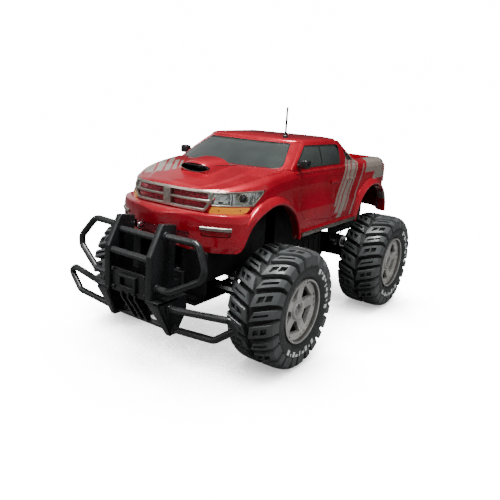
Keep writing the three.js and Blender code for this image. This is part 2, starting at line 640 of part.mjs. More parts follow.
function knuckle() {
  const y = FRONT_AXLE_Y;
  const block = box([68.5, 80.5], [y - 7, y + 7], [62 + GAP, 88 - GAP]);
  const kingpins = [bar('z', [KINGPIN_X, y], 3, 58, 64, 12), bar('z', [KINGPIN_X, y], 3, 86, 92, 12)];
  const stub = bar('x', [y, AXLE_Z], STUB_RADIUS, 80, TRACK / 2 + 21, 12);
  const shoulder = bar('x', [y, AXLE_Z], 6, 80, 104, 12);
  const arm = box([KINGPIN_X - 3.5, KINGPIN_X + 3.5], [TIE_ROD_Y - 4, y], [77, 81]);
  const pin = bar('z', [KINGPIN_X, TIE_ROD_Y], 1.5, 80, 88, 8);
  return join(block, kingpins, stub, shoulder, arm, pin);
}

function tieRod() {
  const eyes = [[-KINGPIN_X, TIE_ROD_Y], [0, HORN_TIP_Y], [KINGPIN_X, TIE_ROD_Y]];
  const rod = box([-KINGPIN_X, KINGPIN_X], [TIE_ROD_Y - 2, TIE_ROD_Y + 2], [82, 87]);
  return cut(
    join(rod, eyes.map(([x, y]) => bar('z', [x, y], 5, 82, 87, 12))),
    eyes.map(([x, y]) => bar('z', [x, y], 3, 80, 90, 12)));
}

function steeringServo() {
  const body = box([-13, 25], [HORN_Y - 10, HORN_Y + 10], [67 + GAP, 83]);
  return body.add(bar('z', [0, HORN_Y], STUB_RADIUS, 82, 88, 10));
}

function servoHorn() {
  const hub = bar('z', [0, HORN_Y], 5.5, 84, 92, 12);
  const arm = prism('z', [[-4, HORN_Y], [4, HORN_Y], [2.6, HORN_TIP_Y + 3], [-2.6, HORN_TIP_Y + 3]], 88.5, 92);
  const pin = bar('z', [0, HORN_TIP_Y], 1.5, 83, 89, 8);
  return cut(join(hub, arm, pin), bar('z', [0, HORN_Y], 3.4, 80, 88.4, 10));
}

// ---------------------------------------------------------------- wheels, in a frame with +x outwards

function tyre() {
  const w = TYRE_WIDTH / 2;
  const bead = BEAD_RADIUS + 0.75;
  const outside = [
    [27, bead], [w, 52], [w - 4, 70], [w - 17, TYRE_RADIUS], [17 - w, TYRE_RADIUS], [4 - w, 70],
    [-w, 52], [-27, bead]];
  const inside = [[-23, bead], [6 - w, 58], [13 - w, 68], [w - 13, 68], [w - 6, 58], [23, bead]];
  return turned([...outside, ...inside]);
}

const SPOKES = 5;
const SPOKE_TURN = -28;
const SPOKE_PLANE = [19, 25];

function rim() {
  const barrel = turned([
    [30.9, RIM_RADIUS], [30.9, RIM_RADIUS - 2.4], [27, BARREL_RADIUS], [-30.9, BARREL_RADIUS],
    [-30.9, RIM_RADIUS], [-27.9, RIM_RADIUS], [-27.9, BEAD_RADIUS],
    [27.9, BEAD_RADIUS], [27.9, RIM_RADIUS]]);
  const disc = bar('x', [0, 0], BARREL_RADIUS + 1, ...SPOKE_PLANE, WHEEL_SEGMENTS);
  const windows = Array.from({ length: SPOKES }, (_, i) => {
    const angle = (2 * Math.PI * i) / SPOKES + (SPOKE_TURN * Math.PI) / 180;
    const spread = [[14.5, -0.28], [32.5, -0.42], [34, 0], [32.5, 0.42], [14.5, 0.28]];
    return prism('x', spread.map(([r, a]) => [r * Math.cos(angle + a), r * Math.sin(angle + a)]), 15, 27);
  });
  const hub = bar('x', [0, 0], 12.5, -12, 25, 16);
  const nutWell = bar('x', [0, 0], 8.6, 16, 30, 16);
  const bore = bar('x', [0, 0], HUB_BORE_RADIUS, -20, 30, 10);
  return cut(join(barrel, disc, hub), windows, nutWell, bore);
}

const wheelNut = () => cut(
  bar('x', [0, 0], 5.6, 16 + GAP, 20.5, 6), bar('x', [0, 0], HUB_BORE_RADIUS, 10, 30, 10));

// ---------------------------------------------------------------- rear axle

// Plain straight-sided teeth with room for backlash. phase is in teeth.
function gearOutline(teeth, centreY, centreZ, phase) {
  const pitch = (GEAR_MODULE * teeth) / 2;
  const profile = [[pitch - 1.5, -0.34], [pitch + 1.05, -0.13], [pitch + 1.05, 0.13], [pitch - 1.5, 0.34]];
  return Array.from({ length: teeth }, (_, i) => profile.map(([radius, share]) => {
    const angle = (2 * Math.PI * (i + phase + share)) / teeth;
    return [centreY + radius * Math.cos(angle), centreZ + radius * Math.sin(angle)];
  })).flat();
}

const GEAR_X = [0.5, 6];
const CASE_X = [-3, 9];
const MOTOR_ANGLE = Math.atan2(MOTOR_RISE, MOTOR.y - REAR_AXLE_Y);

// A tooth of the gear and a gap of the pinion both lie on the line between the two axes.
const gearPhase = (MOTOR_ANGLE / (2 * Math.PI)) * GEAR_TEETH;
const pinionPhase = ((MOTOR_ANGLE + Math.PI) / (2 * Math.PI)) * PINION_TEETH + 0.5;

function finalGear() {
  return cut(
    prism('x', gearOutline(GEAR_TEETH, REAR_AXLE_Y, AXLE_Z, gearPhase), ...GEAR_X),
    bar('x', [REAR_AXLE_Y, AXLE_Z], HUB_BORE_RADIUS, -10, 20, 10));
}

function motorPinion() {
  return cut(
    prism('x', gearOutline(PINION_TEETH, MOTOR.y, MOTOR.z, pinionPhase), GEAR_X[0], GEAR_X[1] + 1.5),
    bar('x', [MOTOR.y, MOTOR.z], 1.6, -10, 20, 8));
}

// The gear case in side view: a large round end on the axle and a small one on the motor.
function caseOutline(grow) {
  const tangentTurn = Math.acos((24.5 - 10.5) / GEAR_CENTRES);
  const around = (centre, radius, from, to, segments) =>
    circle(centre[0], centre[1], radius, segments, MOTOR_ANGLE + from, MOTOR_ANGLE + to);
  return [
    ...around([REAR_AXLE_Y, AXLE_Z], 24.5 + grow, tangentTurn, 2 * Math.PI - tangentTurn, 16),
    ...around([MOTOR.y, MOTOR.z], 10.5 + grow, -tangentTurn, tangentTurn, 8)];
}

function axleTube(x0, x1) {
  const tubeBody = bar('x', [REAR_AXLE_Y, AXLE_Z], 8.5, x0, x1, 14);
  const y = SHOCK_Y.rear;
  const padX = Math.sign(x0 + x1) * SHOCK_X;
  return tubeBody.add(box([padX - 5, padX + 5], [y - 5, y + 8], [AXLE_Z + 2, 84]));
}

const axleBore = () => bar('x', [REAR_AXLE_Y, AXLE_Z], STUB_RADIUS + 0.5, -90, 90, 14);

function linkTab(x0) {
  return prism('x', [
    [REAR_AXLE_Y - 4, AXLE_Z - 8], [LINKS.rear.axle - 3, AXLE_Z - 3.5], [LINKS.rear.axle - 3, AXLE_Z + 3.5],
    [REAR_AXLE_Y - 4, AXLE_Z + 8]], x0, x0 + 3.5);
}

function axleHousingRight() {
  const shell = cut(
    prism('x', caseOutline(2), ...CASE_X), prism('x', caseOutline(0), CASE_X[0] + 2.5, CASE_X[1] + 1));
  const pin = cut(bar('x', [LINKS.rear.axle, AXLE_Z], 1.5, -24, -10, 10));
  return cut(join(shell, axleTube(-82, CASE_X[0] + 1), linkTab(-26.5), linkTab(-14), pin), axleBore());
}

function axleHousingLeft() {
  const x0 = CASE_X[1] + GAP;
  const plate = cut(
    prism('x', caseOutline(2), x0, x0 + 3), bar('x', [MOTOR.y, MOTOR.z], 4, 0, 20, 12));
  const pin = bar('x', [LINKS.rear.axle, AXLE_Z], 1.5, 14, 24, 10);
  return cut(join(plate, axleTube(x0 + 2, 82), linkTab(10.5), linkTab(23), pin), axleBore());
}

const rearAxleShaft = () => bar(
  'x', [REAR_AXLE_Y, AXLE_Z], STUB_RADIUS, -TRACK / 2 - 21, TRACK / 2 + 21, 12);

function driveMotor() {
  const x0 = CASE_X[1] + GAP + 3 + GAP;
  const can = bar('x', [MOTOR.y, MOTOR.z], 13.5, x0, x0 + 36, 18);
  const boss = bar('x', [MOTOR.y, MOTOR.z], 5, x0 + 35, x0 + 39, 12);
  const shaft = bar('x', [MOTOR.y, MOTOR.z], 1.2, 1, x0 + 1, 8);
  return join(can, boss, shaft);
}

// ---------------------------------------------------------------- assembly

const paint = (color, roughness, metalness = 0, more = {}) =>
  new THREE.MeshStandardMaterial({ color, roughness, metalness, ...more });

const MATERIALS = {
  redPaint: paint(0xb00d1e, 0.25, 0.3),
  darkGlass: paint(0x2c3532, 0.12),
  silverTrim: paint(0xa7a59c, 0.4, 0.6),
  clearLens: paint(0xc9d2cc, 0.15, 0.1, { transparent: true, opacity: 0.8 }),
  redLens: paint(0x8c0c10, 0.2),
  blackPlastic: paint(0x1c1f1e, 0.55),
  blackRubber: paint(0x1b1c1c, 0.85),
  rimPaint: paint(0x75706a, 0.35, 0.7),
  steel: paint(0xb5b7b8, 0.35, 0.9),
  whiteNylon: paint(0xe4e2da, 0.6),
  boardGreen: paint(0x1f5a35, 0.5),
  batteryWrap: paint(0x2b5f9c, 0.45),
};

const truck = new THREE.Group();

function place(name, solid, material, parent = truck) {
  const mesh = new THREE.Mesh(toGeometry(solid), MATERIALS[material]);
  mesh.name = name;
  parent.add(mesh);
}

function placePair(name, leftSolid, material) {
  place(`${name}_left`, leftSolid, material);
  place(`${name}_right`, mirrored(leftSolid), material);
}

place('body_shell', bodyShell(), 'redPaint');
place('windscreen', pane('y', WINDSCREEN, WINDSCREEN_REACH), 'darkGlass');
place('rear_window', pane('y', REAR_WINDOW, REAR_REACH), 'darkGlass');
placePair('side_window', pane('x', SIDE_WINDOW, SIDE_REACH), 'darkGlass');
place('grille', grille(), 'silverTrim');
placePair('headlight', headlight(), 'clearLens');
placePair('tail_light', tailLight(), 'redLens');
placePair('mirror', mirror(), 'blackPlastic');
place('antenna', antenna(), 'blackRubber');
place('scoop_insert', scoopInsert(), 'blackPlastic');

place('bull_bar_frame', bullBarFrame(), 'blackPlastic');
placePair('bull_bar_upper_loop', tube(UPPER_LOOP, LOOP_RADIUS, 7, 22), 'blackPlastic');
placePair('bull_bar_lower_loop', tube(LOWER_LOOP, LOOP_RADIUS, 6, 24), 'blackPlastic');

place('chassis_tub', chassisTub(), 'blackPlastic');
place('front_shock_tower', shockTower(SHOCK_Y.front, POSTS[0]), 'blackPlastic');
place('rear_shock_tower', shockTower(SHOCK_Y.rear, POSTS[1]), 'blackPlastic');
place('battery_door', batteryDoor(), 'blackPlastic');
place('battery_pack', batteryPack(), 'batteryWrap');
place('receiver_board', receiverBoard(), 'boardGreen');
place('power_switch', powerSwitch(), 'whiteNylon');

for (const end of ['front', 'rear']) {
  placePair(`${end}_spring`, coilSpring(SHOCK_X, SHOCK_Y[end]), 'steel');
  placePair(`${end}_shock_rod`, shockRod(SHOCK_X, SHOCK_Y[end]), 'steel');
  place(`${end}_link`, suspensionLink(LINKS[end]), 'blackPlastic');
}

place('front_axle_beam', frontAxleBeam(), 'blackPlastic');
placePair('knuckle', knuckle(), 'blackPlastic');
place('tie_rod', tieRod(), 'steel');
place('steering_servo', steeringServo(), 'blackPlastic');
place('servo_horn', servoHorn(), 'whiteNylon');

place('axle_housing_left', axleHousingLeft(), 'blackPlastic');
place('axle_housing_right', axleHousingRight(), 'blackPlastic');
place('rear_axle_shaft', rearAxleShaft(), 'steel');
place('final_gear', finalGear(), 'whiteNylon');
place('motor_pinion', motorPinion(), 'steel');
place('drive_motor', driveMotor(), 'steel');

for (const [end, y] of [['front', FRONT_AXLE_Y], ['rear', REAR_AXLE_Y]]) {
  for (const [side, sign] of [['left', 1], ['right', -1]]) {
    const wheel = new THREE.Group();
    wheel.position.set((sign * TRACK) / 2, y, AXLE_Z);
    wheel.rotation.z = sign > 0 ? 0 : Math.PI;
    truck.add(wheel);
    place(`${end}_tyre_${side}`, tyre(), 'blackRubber', wheel);
    place(`${end}_rim_${side}`, rim(), 'rimPaint', wheel);
    place(`${end}_wheel_nut_${side}`, wheelNut(), 'steel', wheel);
  }
}

export default truck;
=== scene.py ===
"""The looks of a remote control monster truck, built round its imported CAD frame.

Lengths in this script are millimetres, turned into metres where a mesh is made. The truck faces -Y,
+X is its left side and the origin is on the ground under its middle, as in the CAD frame.
"""

import math

import bmesh
import bpy
from mathutils import Matrix, Vector
from mathutils.bvhtree import BVHTree


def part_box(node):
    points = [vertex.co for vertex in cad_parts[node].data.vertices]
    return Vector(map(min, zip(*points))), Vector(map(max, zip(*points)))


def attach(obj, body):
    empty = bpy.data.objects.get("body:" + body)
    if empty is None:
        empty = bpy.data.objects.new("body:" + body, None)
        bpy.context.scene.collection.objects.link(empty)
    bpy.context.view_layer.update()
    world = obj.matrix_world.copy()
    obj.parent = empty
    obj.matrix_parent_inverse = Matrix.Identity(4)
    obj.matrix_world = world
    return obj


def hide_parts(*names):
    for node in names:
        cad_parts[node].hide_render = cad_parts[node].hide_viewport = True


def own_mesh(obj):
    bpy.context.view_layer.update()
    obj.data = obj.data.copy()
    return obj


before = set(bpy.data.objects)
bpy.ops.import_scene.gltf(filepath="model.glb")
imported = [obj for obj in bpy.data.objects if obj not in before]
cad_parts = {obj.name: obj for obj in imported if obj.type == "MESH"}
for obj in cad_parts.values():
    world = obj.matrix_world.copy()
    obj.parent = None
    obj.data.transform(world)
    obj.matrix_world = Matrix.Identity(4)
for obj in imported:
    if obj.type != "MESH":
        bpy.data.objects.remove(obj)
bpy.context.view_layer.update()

MM = 0.001
LEFT, RIGHT = 1, -1
SIDE_NAME = {LEFT: "left", RIGHT: "right"}


def middle_mm(node):
    """The middle of a CAD node's box, in millimetres."""
    low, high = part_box(node)
    return (Vector(low) + Vector(high)) / (2 * MM)


FRONT_AXLE = middle_mm("front_tyre_left")
REAR_AXLE = middle_mm("rear_tyre_left")
AXLE_Y = {"front": FRONT_AXLE.y, "rear": REAR_AXLE.y}
AXLE_Z = FRONT_AXLE.z
WHEEL_X = FRONT_AXLE.x
TYRE_RADIUS = AXLE_Z

SHELL_WALL = 2.2
SILL_Z = 147
LEDGE_Z = 191
BELT_Z = 236
ROOF_EDGE_Z = 266
ARCH_RADIUS = 57
ARCH_Z = 140
FLARE_X = 106.3
FLARE_ROOT_X = 94
FLARE_WIDTH, FLARE_SWELL, FLARE_DIP = 8.5, 2.5, 1.6
FLARE_FADE = (112, 152)
SKIN_X = 99
BED_HALF_WIDTH, BED_FRONT, BED_BACK, BED_FLOOR = 80, 106, 238, 200


# ---------------------------------------------------------------- shape helpers


def curve(*points):
    """A smooth function through (at, value) points that never swings past them."""

    def slope(i):
        return (points[i + 1][1] - points[i][1]) / (points[i + 1][0] - points[i][0])

    def tangent(i):
        if i == 0:
            return slope(0)
        if i == len(points) - 1:
            return slope(i - 1)
        a, b = slope(i - 1), slope(i)
        return 0 if a * b <= 0 else 2 * a * b / (a + b)

    def value(at):
        if at <= points[0][0]:
            return points[0][1]
        if at >= points[-1][0]:
            return points[-1][1]
        i = max(k for k in range(len(points) - 1) if points[k][0] <= at)
        width = points[i + 1][0] - points[i][0]
        t = (at - points[i][0]) / width
        return (
            (2 * t**3 - 3 * t**2 + 1) * points[i][1]
            + (t**3 - 2 * t**2 + t) * width * tangent(i)
            + (3 * t**2 - 2 * t**3) * points[i + 1][1]
            + (t**3 - t**2) * width * tangent(i + 1)
        )

    return value


def spread(start, end, count):
    """Evenly spaced numbers from start to end."""
    return [start + (end - start) * i / (count - 1) for i in range(count)]


def rounded(points, radius, steps, closed=True):
    """A path of points with its corners turned into arcs. radius is one number or one for each corner."""
    points = [Vector(p) for p in points]
    radii = radius if isinstance(radius, (list, tuple)) else [radius] * len(points)
    path = []
    for i, p in enumerate(points):
        if not closed and i in (0, len(points) - 1) or radii[i] == 0:
            path.append(p)
            continue
        before = points[i - 1] - p
        after = points[(i + 1) % len(points)] - p
        half_turn = before.angle(after) / 2
        reach = min(radii[i] / math.tan(half_turn), before.length * 0.49, after.length * 0.49)
        start, end = p + before.normalized() * reach, p + after.normalized() * reach
        for t in spread(0, 1, steps + 1):
            path.append(start.lerp(p, t).lerp(p.lerp(end, t), t))
    return path


def flat(outline, radius, steps=6, closed=True):
    """A path of (u, v) points with rounded corners."""
    return [(p.x, p.y) for p in rounded([(*q, 0) for q in outline], radius, steps, closed)]


def through(points, steps):
    """A smooth path through points, as Catmull-Rom stretches."""
    points = [Vector(p) for p in points]
    path = []
    for i in range(len(points) - 1):
        a, b, c, d = (points[min(max(i + k, 0), len(points) - 1)] for k in (-1, 0, 1, 2))
        for k in range(steps):
            t = k / steps
            path.append(0.5 * (2 * b + (c - a) * t + (2 * a - 5 * b + 4 * c - d) * t**2
                               + (3 * b - a - 3 * c + d) * t**3))
    return path + [points[-1]]


def spaced(points, step):
    """Places along a path of (u, v) points, about a step apart."""
    places = []
    for (u0, v0), (u1, v1) in zip(points, points[1:]):
        count = max(1, round(math.hypot(u1 - u0, v1 - v0) / step))
        places += [(u0 + (u1 - u0) * i / count, v0 + (v1 - v0) * i / count) for i in range(count)]
    return places + [points[-1]]


def circle(cu, cv, radius, count=32, start=0.0, end=2 * math.pi):
    """Points round a circle or an arc. A whole circle doesn't repeat its first point."""
    whole = abs(end - start - 2 * math.pi) < 1e-9
    angles = spread(start, end, count + 1)[:-1] if whole else spread(start, end, count)
    return [(cu + radius * math.cos(a), cv + radius * math.sin(a)) for a in angles]


def polar(radius, angle):
    return (radius * math.cos(angle), radius * math.sin(angle))


def place(axis, u, v, w):
    """A point from an outline's (u, v) and its place w along the axis: x has (y, z), y (x, z), z (x, y)."""
    return {"x": (w, u, v), "y": (u, w, v), "z": (u, v, w)}[axis]


def face_out(mesh):
    """Turns a closed mesh's faces to point outwards."""
    bm = bmesh.new()
    bm.from_mesh(mesh)
    bmesh.ops.recalc_face_normals(bm, faces=bm.faces)
    if bm.calc_volume(signed=True) < 0:
        bmesh.ops.reverse_faces(bm, faces=bm.faces)
    bm.to_mesh(mesh)
    bm.free()


def linked(name, data):
    """A new object in the scene that holds a mesh, curve, light or camera."""
    obj = bpy.data.objects.new(name, data)
    bpy.context.scene.collection.objects.link(obj)
    return obj


def make(name, verts, faces):
    """A new object from points in millimetres, with its faces turned outwards."""
    mesh = bpy.data.meshes.new(name)
    mesh.from_pydata([Vector(v) * MM for v in verts], [], faces)
    face_out(mesh)
    return linked(name, mesh)


def skin(name, rings, caps=True, round_path=False):
    """A surface over a row of closed rings of points."""
    count = len(rings[0])
    verts = [p for ring in rings for p in ring]
    faces = []
    for i in range(len(rings) if round_path else len(rings) - 1):
        a, b = i * count, ((i + 1) % len(rings)) * count
        faces += [(a + j, a + (j + 1) % count, b + (j + 1) % count, b + j) for j in range(count)]
    if caps and not round_path:
        for ring, first in ((rings[0], 0), (rings[-1], (len(rings) - 1) * count)):
            middle = len(verts)
            verts.append(sum((Vector(p) for p in ring), Vector()) / count)
            faces += [(first + j, first + (j + 1) % count, middle) for j in range(count)]
    return make(name, verts, faces)


def solid(low_ring, high_ring):
    """A closed solid between two rings of points."""
    count = len(low_ring)
    faces = [tuple(range(count)), tuple(range(count, 2 * count))]
    faces += [(i, (i + 1) % count, count + (i + 1) % count, count + i) for i in range(count)]
    return make("solid", low_ring + high_ring, faces)


def prism(axis, outline, low, high):
    """An outline extruded from low to high along an axis."""
    return solid(*[[place(axis, u, v, w) for u, v in outline] for w in (low, high)])


def box(x, y, z):
    """A block over three (low, high) stretches."""
    return prism("z", [(x[0], y[0]), (x[1], y[0]), (x[1], y[1]), (x[0], y[1])], *z)


def turned(name, outline, count=96):
    """A solid of revolution round the X axis from a closed outline of (x, radius) points."""
    rings = []
    for i in range(count):
        angle = 2 * math.pi * i / count
        rings.append([(x, r * math.cos(angle), r * math.sin(angle)) for x, r in outline])
    return skin(name, rings, round_path=True)


def combine(obj, operation, *tools):
    """Joins, cuts or intersects an object with tools, and deletes the tools."""
    for tool in tools:
        modifier = obj.modifiers.new("combine", "BOOLEAN")
        modifier.operation = operation
        modifier.solver = "MANIFOLD"
        modifier.object = tool
        apply_modifiers(obj)
        drop(tool)
    return obj


def apply_modifiers(obj):
    graph = bpy.context.evaluated_depsgraph_get()
    mesh = bpy.data.meshes.new_from_object(obj.evaluated_get(graph))
    obj.modifiers.clear()
    old = obj.data
    obj.data = mesh
    bpy.data.meshes.remove(old)
    return obj


def drop(obj):
    """Deletes an object, and its mesh when nothing else has it."""
    data = obj.data
    bpy.data.objects.remove(obj)
    if data.users == 0:
        bpy.data.meshes.remove(data)


def mapped(obj, change):
    """Moves every point of an object. change takes and returns a Vector in millimetres."""
    for vertex in obj.data.vertices:
        vertex.co = change(vertex.co / MM) * MM
    face_out(obj.data)
    return obj


def merged(name, objects):
    """One object that holds the meshes of several, with their materials."""
    bm = bmesh.new()
    materials = []
    for obj in objects:
        start = len(bm.faces)
        bm.from_mesh(obj.data)
        bm.faces.ensure_lookup_table()
        own = list(obj.data.materials)
        for face in bm.faces[start:]:
            material = own[face.material_index] if own else None
            if material is not None:
                if material not in materials:
                    materials.append(material)
                face.material_index = materials.index(material)
    mesh = bpy.data.meshes.new(name)
    bm.to_mesh(mesh)
    bm.free()
    for material in materials:
        mesh.materials.append(material)
    for obj in objects:
        drop(obj)
    return linked(name, mesh)


def bevelled(obj, width, segments=2, angle=35):
    """Rounds the edges that are sharper than an angle in degrees."""
    modifier = obj.modifiers.new("bevel", "BEVEL")
    modifier.width = width * MM
    modifier.segments = segments
    modifier.limit_method = "ANGLE"
    modifier.angle_limit = math.radians(angle)
    return apply_modifiers(obj)


def from_outlines(outlines, closed, **settings):
    """A mesh made from a curve of straight stretches with the given settings."""
    data = bpy.data.curves.new("outlines", "CURVE")
    for key, value in settings.items():
        setattr(data, key, value)
    for outline in outlines:
        spline = data.splines.new("POLY")
        spline.points.add(len(outline) - 1)
        for point, p in zip(spline.points, outline):
            point.co = (*(Vector(p) * MM), 1)
        spline.use_cyclic_u = closed
    holder = linked("outlines", data)
    graph = bpy.context.evaluated_depsgraph_get()
    mesh = bpy.data.meshes.new_from_object(holder.evaluated_get(graph))
    bpy.data.objects.remove(holder)
    bpy.data.curves.remove(data)
    bm = bmesh.new()
    bm.from_mesh(mesh)
    bmesh.ops.remove_doubles(bm, verts=bm.verts, dist=1e-6)
    bm.to_mesh(mesh)
    bm.free()
    face_out(mesh)
    return linked("outlines", mesh)


def tubes(paths, radius, sides=1):
    """Round tubes along paths of points, as one object."""
    return from_outlines(paths, False, dimensions="3D", bevel_depth=radius * MM,
                         bevel_resolution=sides, use_fill_caps=True)


def tube(path, radius, sides=4):
    """A round tube along one path."""
    return tubes([path], radius, sides)


def plate(axis, outlines, low, high, edge):
    """A flat plate between two stations on an axis, with rounded edges.
    Outlines after the first are holes."""
    flat_paths = [[(u, v, 0) for u, v in outline] for outline in outlines]
    obj = from_outlines(flat_paths, True, dimensions="2D", fill_mode="BOTH",
                        extrude=((high - low) / 2 - edge) * MM, bevel_depth=edge * MM,
                        bevel_resolution=2, offset=-edge * MM)
    return mapped(obj, lambda p: Vector(place(axis, p.x, p.y, p.z + (low + high) / 2)))


def slab(axis, outline, corner, low, high, edge):
    """A plate from one outline with rounded corners."""
    return plate(axis, [flat(outline, corner)], low, high, edge)


class Surface:
    """Finds points on an object's outside, so that trim can lie on it."""

    def __init__(self, obj):
        verts = [v.co / MM for v in obj.data.vertices]
        self.tree = BVHTree.FromPolygons(verts, [tuple(p.vertices) for p in obj.data.polygons])

    def hit(self, kind, u, v, side=LEFT):
        """A point and its normal: side has (y, z), front and back (x, z), top (x, y) and lamp (s, z)."""
        start, direction = {
            "side": ((side * 200, u, v), (-side, 0, 0)),
            "front": ((side * u, -400, v), (0, 1, 0)),
            "back": ((side * u, 400, v), (0, -1, 0)),
            "top": ((side * u, v, 400), (0, 0, -1)),
            "lamp": (lamp_point(side, u, v, 80), (-side * LAMP_OUT.x, -LAMP_OUT.y, 0)),
        }[kind]
        point, normal, _, _ = self.tree.ray_cast(Vector(start), Vector(direction))
        return point, normal


def painted(obj, material):
    """Gives an object one material, and nothing else."""
    obj.data.materials.clear()
    obj.data.materials.append(material)
    return obj


def finished(obj, body, material=None, replaces=(), angle=32):
    """Gives a piece its material, smooth shading and body, and hides the CAD nodes it stands for."""
    if material is not None:
        painted(obj, material)
    obj.data.shade_smooth()
    obj.data.set_sharp_from_angle(angle=math.radians(angle))
    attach(obj, body)
    if replaces:
        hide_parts(*replaces)
    return obj


# ---------------------------------------------------------------- materials


class Nodes:
    """Adds shader nodes to a tree."""

    def __init__(self, tree):
        self.tree = tree

    def node(self, kind, settings=None, **inputs):
        """A node with its inputs fed by name, or by place as i0, i1 and so on."""
        node = self.tree.nodes.new("ShaderNode" + kind)
        for key, value in (settings or {}).items():
            setattr(node, key, value)
        for key, value in inputs.items():
            by_place = key[0] == "i" and key[1:].isdigit()
            self.feed(node.inputs[int(key[1:]) if by_place else key], value)
        return node

    def feed(self, socket, value):
        if isinstance(value, bpy.types.NodeSocket):
            self.tree.links.new(value, socket)
        elif socket.type == "RGBA":
            socket.default_value = (*value[:3], 1)
        else:
            socket.default_value = value

    def math(self, operation, a, b, c=0.0):
        return self.node("Math", {"operation": operation}, i0=a, i1=b, i2=c).outputs[0]

    def times(self, a, b):
        return self.math("MULTIPLY", a, b)

    def ramp(self, value, low, high, to_low=0.0, to_high=1.0):
        settings = {"clamp": True, "interpolation_type": "SMOOTHSTEP"}
        return self.node("MapRange", settings, i0=value, i1=low, i2=high, i3=to_low, i4=to_high).outputs[0]

    def seen_directly(self):
        """1 where the stage is looked at, and 0 where it only lights the truck."""
        return self.node("LightPath").outputs["Is Camera Ray"]


class Material(Nodes):
    """A Principled material with helpers for procedural detail in object space."""

    def __init__(self, name, color, roughness, metallic=0.0, **sockets):
        self.material = bpy.data.materials.new(name)
        self.material.use_nodes = True
        super().__init__(self.material.node_tree)
        self.shader = self.tree.nodes["Principled BSDF"]
        self.set("Base Color", color)
        self.set("Roughness", roughness)
        self.set("Metallic", metallic)
        for socket, value in sockets.items():
            self.set(socket.replace("_", " "), value)
        self.place = self.node("TexCoord").outputs["Object"]

    def set(self, socket, value):
        self.feed(self.shader.inputs[socket], value)

    def noise(self, scale, detail=3.0, roughness=0.5, at=None):
        return self.node("TexNoise", Vector=at or self.place, Scale=scale, Detail=detail,
                         Roughness=roughness).outputs["Fac"]

    def blend(self, share, a, b):
        return self.node("Mix", {"data_type": "RGBA"}, i0=share, i6=a, i7=b).outputs[2]

    def bump(self, height, strength, distance):
        """Adds relief over any that the material has already."""
        node = self.node("Bump", Height=height, Strength=strength, Distance=distance)
        normal = self.shader.inputs["Normal"]
        if normal.links:
            self.tree.links.new(normal.links[0].from_socket, node.inputs["Normal"])
        self.tree.links.new(node.outputs[0], normal)

    def edges(self):
        """How far a point is on an outer edge, from 0 to 1."""
        return self.ramp(self.node("NewGeometry").outputs["Pointiness"], 0.52, 0.58)


def tinted(color, share):
    return tuple(c * share for c in color)


def plastic(name, color, roughness, grain=900, grain_strength=0.12, edge=(0.09, 0.09, 0.09), **sockets):
    """Moulded plastic: fine grain, uneven gloss and slightly rubbed edges."""
    m = Material(name, color, roughness, **sockets)
    mottle = m.noise(55, 4)
    shade = m.blend(m.ramp(mottle, 0.3, 0.7), tinted(color, 0.8), tinted(color, 1.25))
    m.set("Base Color", m.blend(m.times(m.edges(), 0.55), shade, edge))
    m.set("Roughness", m.ramp(m.noise(140, 3), 0.25, 0.75, roughness - 0.07, roughness + 0.09))
    m.bump(m.noise(grain, 2), grain_strength, 0.0002)
    return m.material


def metal(name, color, roughness, streaks=(40, 40, 900)):
    """Bare or plated metal with fine streaks and uneven gloss."""
    m = Material(name, color, roughness, 1.0)
    stretch = m.node("Mapping", Vector=m.place, Scale=streaks).outputs[0]
    lines = m.noise(1.0, 3, at=stretch)
    m.set("Base Color", m.blend(m.ramp(lines, 0.3, 0.7), tinted(color, 0.82), color))
    m.set("Roughness", m.ramp(m.noise(180, 3), 0.3, 0.7, roughness - 0.06, roughness + 0.08))
    m.bump(lines, 0.05, 0.0001)
    return m.material


PAINT_RED = (0.38, 0.004, 0.017)
PAINT_DEEP = (0.27, 0.002, 0.011)
STRIPE_SILVER = (0.27, 0.225, 0.195)
STRIPE_SOFTNESS = 0.0004


def band(m, value, low_mm, high_mm):
    """1 between two values and 0 outside them, with edges 0.8 mm soft."""
    low, high, soft = low_mm * MM, high_mm * MM, STRIPE_SOFTNESS
    rise = m.ramp(value, low - soft, low + soft)
    return m.times(rise, m.ramp(value, high - soft, high + soft, 1.0, 0.0))


def stripes_mask(m):
    """Plain slanted stripes: on the rear sides, growing towards the tail, and on the bonnet's right half."""
    x, y, z = m.node("SeparateXYZ", Vector=m.place).outputs
    slant = m.math("SUBTRACT", y, m.times(z, STRIPE_SLANT))
    low_side = m.ramp(m.math("ABSOLUTE", x, 0.0), STRIPE_SIDE_X, STRIPE_SIDE_X + 0.001)
    turn = m.math("ADD", m.times(x, 0.8), m.times(y, 0.6))
    along = m.math("SUBTRACT", m.times(y, 0.8), m.times(x, 0.6))
    bonnet = m.times(m.ramp(z, BONNET_FOOT_Z, BONNET_FOOT_Z + 0.001),
                     m.ramp(y, BONNET_END_Y, BONNET_END_Y + 0.001, 1.0, 0.0))
    masks = []
    for stripes, across_band, along_band, area in (
            (SIDE_STRIPES, slant, z, low_side), (BONNET_STRIPES, turn, along, bonnet)):
        for start, end, foot, top in stripes:
            strip = m.times(band(m, across_band, start, end), band(m, along_band, foot, top))
            masks.append(m.times(strip, area))
    total = masks[0]
    for mask in masks[1:]:
        total = m.math("MAXIMUM", total, mask)
    return total


# Side stripes lean by a slant and stay beyond a distance from the middle, in metres.
# Bonnet stripes stay over a height and in front of the windscreen's foot, in metres.
STRIPE_SLANT, STRIPE_SIDE_X = 0.62, 0.070
BONNET_FOOT_Z, BONNET_END_Y = 0.2165, -0.079
